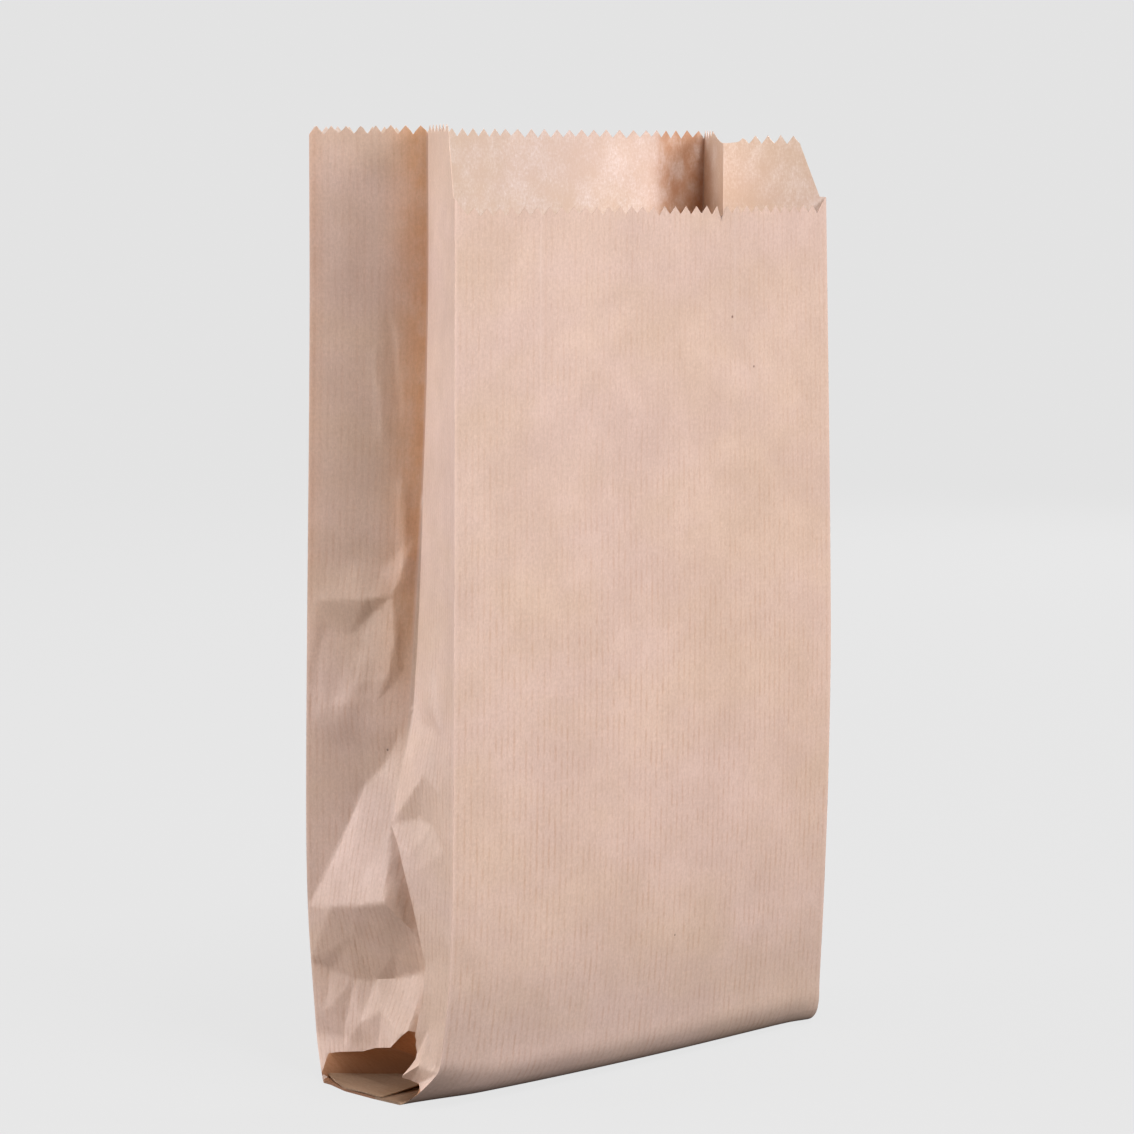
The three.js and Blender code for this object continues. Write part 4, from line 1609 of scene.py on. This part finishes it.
    def border(self, side: Side, lower: np.ndarray) -> np.ndarray:
        """Border of a gusset's crumpled part.

        Args:
            side: Left or right.
            lower: Heights of the rows between its top and the rim.

        Returns:
            Places across from the back fold and up, in order round the border.
        """
        share = CUTS[side].shares
        across = from_back(side, share) * CUTS[side].width
        top = [(a, lower[0, 0]) for a in across]
        last = [(across[-1], h) for h in lower[1:, -1]]
        rim = list(zip(across[::-1][1:], lower[-1, ::-1][1:]))
        first = [(across[0], h) for h in lower[::-1, 0][1:-1]]
        return np.array(top + last + rim + first)

    def turned_rows(self, side: Side, rim: np.ndarray) -> np.ndarray:
        """Rows from the rim to the floor.

        Args:
            side: Side of the bag.
            rim: Heights of the rim.

        Returns:
            Rows of a panel's turn, or of a pocket's roof, floor and side edge.
        """
        shape, share = self.shape, CUTS[side].shares
        count = 2 * self.roof_rows + self.edge_rows
        contact = shape.contact(side, share)
        start = shape.wall(side, share, rim)
        turn_start = np.arcsin(np.clip(1 - rim / shape.bottom_fold, 0, 1))
        corner = (share == 0) | (share == 1)
        rows = [start]
        for k in range(1, count + 1):
            angle = lerp(turn_start, math.pi / 2, k / count)
            panel = shape.wall(side, share, shape.bottom_fold * (1 - np.sin(angle)))
            if side in PANELS:
                rows.append(panel)
                continue
            rows.append(np.where(corner[:, None], panel, self.pocket_row(side, k, start, contact)))
        return np.array(rows)

    def pocket_row(self, side: Side, k: int, start: np.ndarray, contact: np.ndarray) -> np.ndarray:
        """One row of a pocket.

        Args:
            side: Left or right.
            k: Number of the row, from 1 beside the rim.
            start: Points of the rim.
            contact: Points on the floor.

        Returns:
            The row's points.
        """
        shape, share = self.shape, CUTS[side].shares
        end = shape.pocket_end(side, share)
        if k <= self.roof_rows:
            t = k / self.roof_rows
            row = lerp(start, end, t)
            row[:, 2] += self.roof_bow * math.sin(math.pi * t) * np.sin(math.pi * share)
            return row
        row = contact.copy()
        if k <= 2 * self.roof_rows:
            lip = contact.copy()
            lip[:, 2] = shape.flap
            row = lerp(end, lip, (k - self.roof_rows) / self.roof_rows)
            row[:, 2] = np.maximum(row[:, 2] - self.sink, self.floor_top)
        else:
            row[:, 2] = self.floor_top * (1 - (k - 2 * self.roof_rows) / self.edge_rows)
        return row

    def face_outwards(self, bag: bpy.types.Object) -> None:
        """Turns all faces outwards.

        Args:
            bag: The joined sheet.
        """
        whole_mesh(bag, "normals_make_consistent", inside=False)
        target = Vector(self.front_place)
        front = min(bag.data.polygons, key=lambda p: (p.center - target).length)
        if front.normal.y > 0:
            whole_mesh(bag, "flip_normals")


@dataclass
class BaseFlap:
    """End of the folded bottom that shows in a pocket: a flat flap with a straight front edge.

    Attributes:
        name: Name of the piece.
        outline: X, Y and height of its corners, in millimetres.
        paper: Its thickness.
        spacing: Distance between its points.
        sharp_angle: Angle from which its edges stay sharp, in degrees.
    """

    name: str
    outline: tuple[tuple[float, float, float], ...]
    paper: float = 0.4
    spacing: float = 2.5
    sharp_angle: float = 30

    def build(self, finish: bpy.types.Material) -> bpy.types.Object:
        """Makes the flap.

        Args:
            finish: Its finish.

        Returns:
            The finished piece.
        """
        corners = np.array(self.outline)
        border = []
        for a, b in zip(corners, np.roll(corners, -1, axis=0)):
            steps = max(1, round(float(np.linalg.norm(b - a)) / self.spacing))
            border += [lerp(a, b, k / steps) for k in range(steps)]
        low, high = np.array(border).min(0), np.array(border).max(0)
        points = [Vector(p[:2]) for p in border]
        points += [Vector((x, y)) for x in np.arange(low[0], high[0], self.spacing)
                   for y in np.arange(low[1], high[1], self.spacing)]
        flat, faces = triangulate(points, ring_lines(len(border)), Cut.INSIDE, 1e-4)
        weight = 1 / (np.linalg.norm(flat[:, None] - corners[None, :, :2], axis=2) ** 2 + 0.01)
        z = (weight * corners[None, :, 2]).sum(1) / weight.sum(1)
        uv = flat + np.array([PANEL_WIDTH / 2, 0.0])
        piece = cut_sheet(self.name, faces, np.column_stack([flat, z]), uv)
        whole_mesh(piece, "normals_make_consistent", inside=False)
        if sum(p.normal.z for p in piece.data.polygons) < 0:
            whole_mesh(piece, "flip_normals")
        piece.data.materials.append(finish)
        thicken(piece, self.paper, self.sharp_angle)
        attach(piece, "root")
        return piece


FLAPS = (
    BaseFlap("base_flap_left", (
        (-94.2, 34.4, 3.2), (-99.6, 20, 1.7), (-102.2, 12.4, 1.4), (-101.2, -6.6, 1.5),
        (-74, -6.4, 3.3), (-66, 2, 3.0), (-70, 30, 3.0),
    )),
    BaseFlap("base_flap_right", (
        (96, 32, 3.0), (70, 30, 2.4), (66, 2, 2.0), (74, -3.6, 2.2), (101.5, -3.8, 1.5), (102.4, 12, 1.4),
    )),
)


# ---------------------------------------------------------------- studio


@dataclass(frozen=True)
class SoftLight:
    """One square soft light.

    Attributes:
        name: Name of the light.
        at: Where it hangs, in metres.
        size: Side of the light, in metres.
        power: Power in watts.
        colour: Colour of the light.
        towards: Point that it faces, or none for the middle of the bag.
    """

    name: str
    at: tuple[float, float, float]
    size: float
    power: float
    colour: tuple[float, float, float] = (1.0, 1.0, 1.0)
    towards: tuple[float, float, float] | None = None


PALE_LIGHT = (0.95, 0.94, 0.97)
WARM_LIGHT = (1.0, 0.72, 0.5)
GLOW_LIGHT = (1.0, 0.72, 0.6)
LIGHTS = (
    SoftLight("front", (0.0, -2.125, 0.749), 0.8, 34, PALE_LIGHT),
    SoftLight("high", (0.0, -0.930, 2.174), 0.8, 43, PALE_LIGHT),
    SoftLight("left_back", (-1.727, 0.997, 1.110), 0.8, 20, PALE_LIGHT),
    SoftLight("low_back", (-1.096, 1.898, 0.372), 0.8, 19, PALE_LIGHT),
    SoftLight("low_left_back", (-1.898, 1.096, 0.372), 0.8, 9.5, PALE_LIGHT),
    SoftLight("right_back", (1.950, 0.930, 0.900), 0.8, 22, PALE_LIGHT),
    SoftLight("low_left", (-2.145, -0.378, 0.486), 0.8, 6.5, WARM_LIGHT),
    SoftLight("front_floor", (0.35, -0.62, 0.003), 1.0, 1.1, WARM_LIGHT, (0.35, -0.62, 1.0)),
    SoftLight("through_paper", (0.055, 0.0, 0.324), 0.03, 0.0035, GLOW_LIGHT, (0.1, 0.038, 0.328)),
)


@dataclass
class Studio:
    """Pale floor and backdrop, soft lights and the camera. Lengths are in metres.

    Attributes:
        lights: The soft lights.
        floor_glow: Strength of the floor's own light.
        floor_tone: Its grey, which adds to that light where the soft lights reach it.
        floor_rings: Radius of its two flat rings; beyond the second it curves up.
        backdrop_radius: Radius of that curve.
        backdrop_top: Height of the backdrop.
        floor_steps: Rings along the curve.
        floor_around: Points round each ring.
        table_tone: Grey of the unseen table.
        table_radius: Its radius.
        table_top: Its height.
        surroundings: Strength of the light from all round.
        aim: Point that the lights face.
        eye: Place of the camera.
        yaw: Its turn to the right of the Y axis, in degrees.
        pitch: Its tilt downwards, in degrees.
        lens: Focal length, in millimetres.
    """

    lights: tuple[SoftLight, ...] = LIGHTS
    floor_glow: float = 0.76
    floor_tone: float = 0.03
    floor_rings: tuple[float, float] = (1.0, 2.4)
    backdrop_radius: float = 1.6
    backdrop_top: float = 5.0
    floor_steps: int = 24
    floor_around: int = 96
    table_tone: float = 0.05
    table_radius: float = 6.0
    table_top: float = -0.001
    surroundings: float = 0.03
    aim: tuple[float, float, float] = (0.0, 0.0, 0.18)
    eye: tuple[float, float, float] = (-0.90316, -0.98548, 0.3253)
    yaw: float = 42.33
    pitch: float = 6.09
    lens: float = 115.5

    def build(self) -> None:
        """Makes the studio."""
        self.add_camera()
        self.add_floor()
        self.add_table()
        self.add_surroundings()
        for light in self.lights:
            self.add_light(light)

    def add_camera(self) -> None:
        """Puts the camera at the photograph's viewing angle."""
        data = bpy.data.cameras.new("camera")
        data.lens = self.lens
        data.sensor_width = 36
        data.clip_start, data.clip_end = 0.05, 30
        camera = bpy.data.objects.new("camera", data)
        camera.location = self.eye
        camera.rotation_euler = (math.radians(90 - self.pitch), 0, -math.radians(self.yaw))
        bpy.context.collection.objects.link(camera)
        bpy.context.scene.camera = camera

    def add_floor(self) -> None:
        """Lays a pale floor that curves up into a backdrop all round."""
        radius, flat, around = self.backdrop_radius, self.floor_rings[-1], self.floor_around
        profile = [(ring, 0.0) for ring in self.floor_rings]
        for k in range(1, self.floor_steps + 1):
            angle = math.pi / 2 * k / self.floor_steps
            profile.append((flat + radius * math.sin(angle), radius * (1 - math.cos(angle))))
        profile.append((flat + radius, self.backdrop_top))
        points = [(0.0, 0.0, 0.0)]
        for out, up in profile:
            for k in range(around):
                angle = 2 * math.pi * k / around
                points.append((out * math.cos(angle), out * math.sin(angle), up))
        faces = [(0, 1 + a, 1 + b) for a, b in ring_lines(around)]
        for ring in range(len(profile) - 1):
            low, high = 1 + ring * around, 1 + (ring + 1) * around
            faces += [(low + a, high + a, high + b, low + b) for a, b in ring_lines(around)]
        mesh = bpy.data.meshes.new("floor")
        mesh.from_pydata(points, [], faces)
        floor = bpy.data.objects.new("floor", mesh)
        bpy.context.collection.objects.link(floor)
        only(floor)
        bpy.ops.object.shade_smooth()
        floor.visible_diffuse = False
        floor.visible_glossy = False
        n = self.matt("studio_floor", self.floor_tone)
        n.shader.inputs["Specular IOR Level"].default_value = 0.0
        n.shader.inputs["Emission Color"].default_value = (1, 1, 1, 1)
        n.shader.inputs["Emission Strength"].default_value = self.floor_glow
        mesh.materials.append(n.material)

    def add_table(self) -> None:
        """Lays an unseen dark board under the bag, which keeps light from coming through the floor."""
        bpy.ops.object.select_all(action="DESELECT")
        bpy.ops.mesh.primitive_circle_add(vertices=48, radius=self.table_radius, fill_type="NGON",
                                          location=(0, 0, self.table_top))
        table = bpy.context.active_object
        table.name = table.data.name = "table"
        table.visible_camera = False
        table.data.materials.append(self.matt("table_tone", self.table_tone).material)

    def matt(self, name: str, tone: float) -> Nodes:
        """Starts a matt grey finish.

        Args:
            name: Name of the material.
            tone: Its grey.

        Returns:
            The finish's nodes.
        """
        n = Nodes(name)
        n.shader.inputs["Base Color"].default_value = (tone, tone, tone, 1)
        n.shader.inputs["Roughness"].default_value = 0.9
        return n

    def add_surroundings(self) -> None:
        """Gives the surroundings their even tone."""
        world = bpy.data.worlds.new("surroundings")
        world.use_nodes = True
        shade = world.node_tree.nodes["Background"]
        shade.inputs["Color"].default_value = (1.0, 0.8, 0.65, 1)
        shade.inputs["Strength"].default_value = self.surroundings
        bpy.context.scene.world = world

    def add_light(self, light: SoftLight) -> None:
        """Hangs one soft light, turned towards its own point or the bag.

        Args:
            light: The light.
        """
        data = bpy.data.lights.new(light.name, "AREA")
        data.size, data.energy, data.color = light.size, light.power, light.colour
        lamp = bpy.data.objects.new(light.name, data)
        lamp.location = light.at
        aim = Vector(light.towards or self.aim)
        lamp.rotation_euler = (aim - Vector(light.at)).to_track_quat("-Z", "Y").to_euler()
        lamp.visible_camera = False
        bpy.context.collection.objects.link(lamp)


def main() -> None:
    """Builds the studio and every piece of the bag."""
    logging.basicConfig(level=logging.INFO, format="%(name)s: %(message)s")
    bpy.context.scene.view_settings.view_transform = "Standard"
    Studio().build()
    outside, inside, pocket, base = (paper.build() for paper in (OUTSIDE, INSIDE, POCKET_SHADED_PAPER, BASE_SHADED_PAPER))
    bag = PaperBag(SheetShape()).build(outside, inside, pocket, base)
    LOG.info("%s: %d faces", bag.name, len(bag.data.polygons))
    for flap in FLAPS:
        piece = flap.build(base)
        LOG.info("%s: %d faces", piece.name, len(piece.data.polygons))


if __name__ == "__main__":
    main()
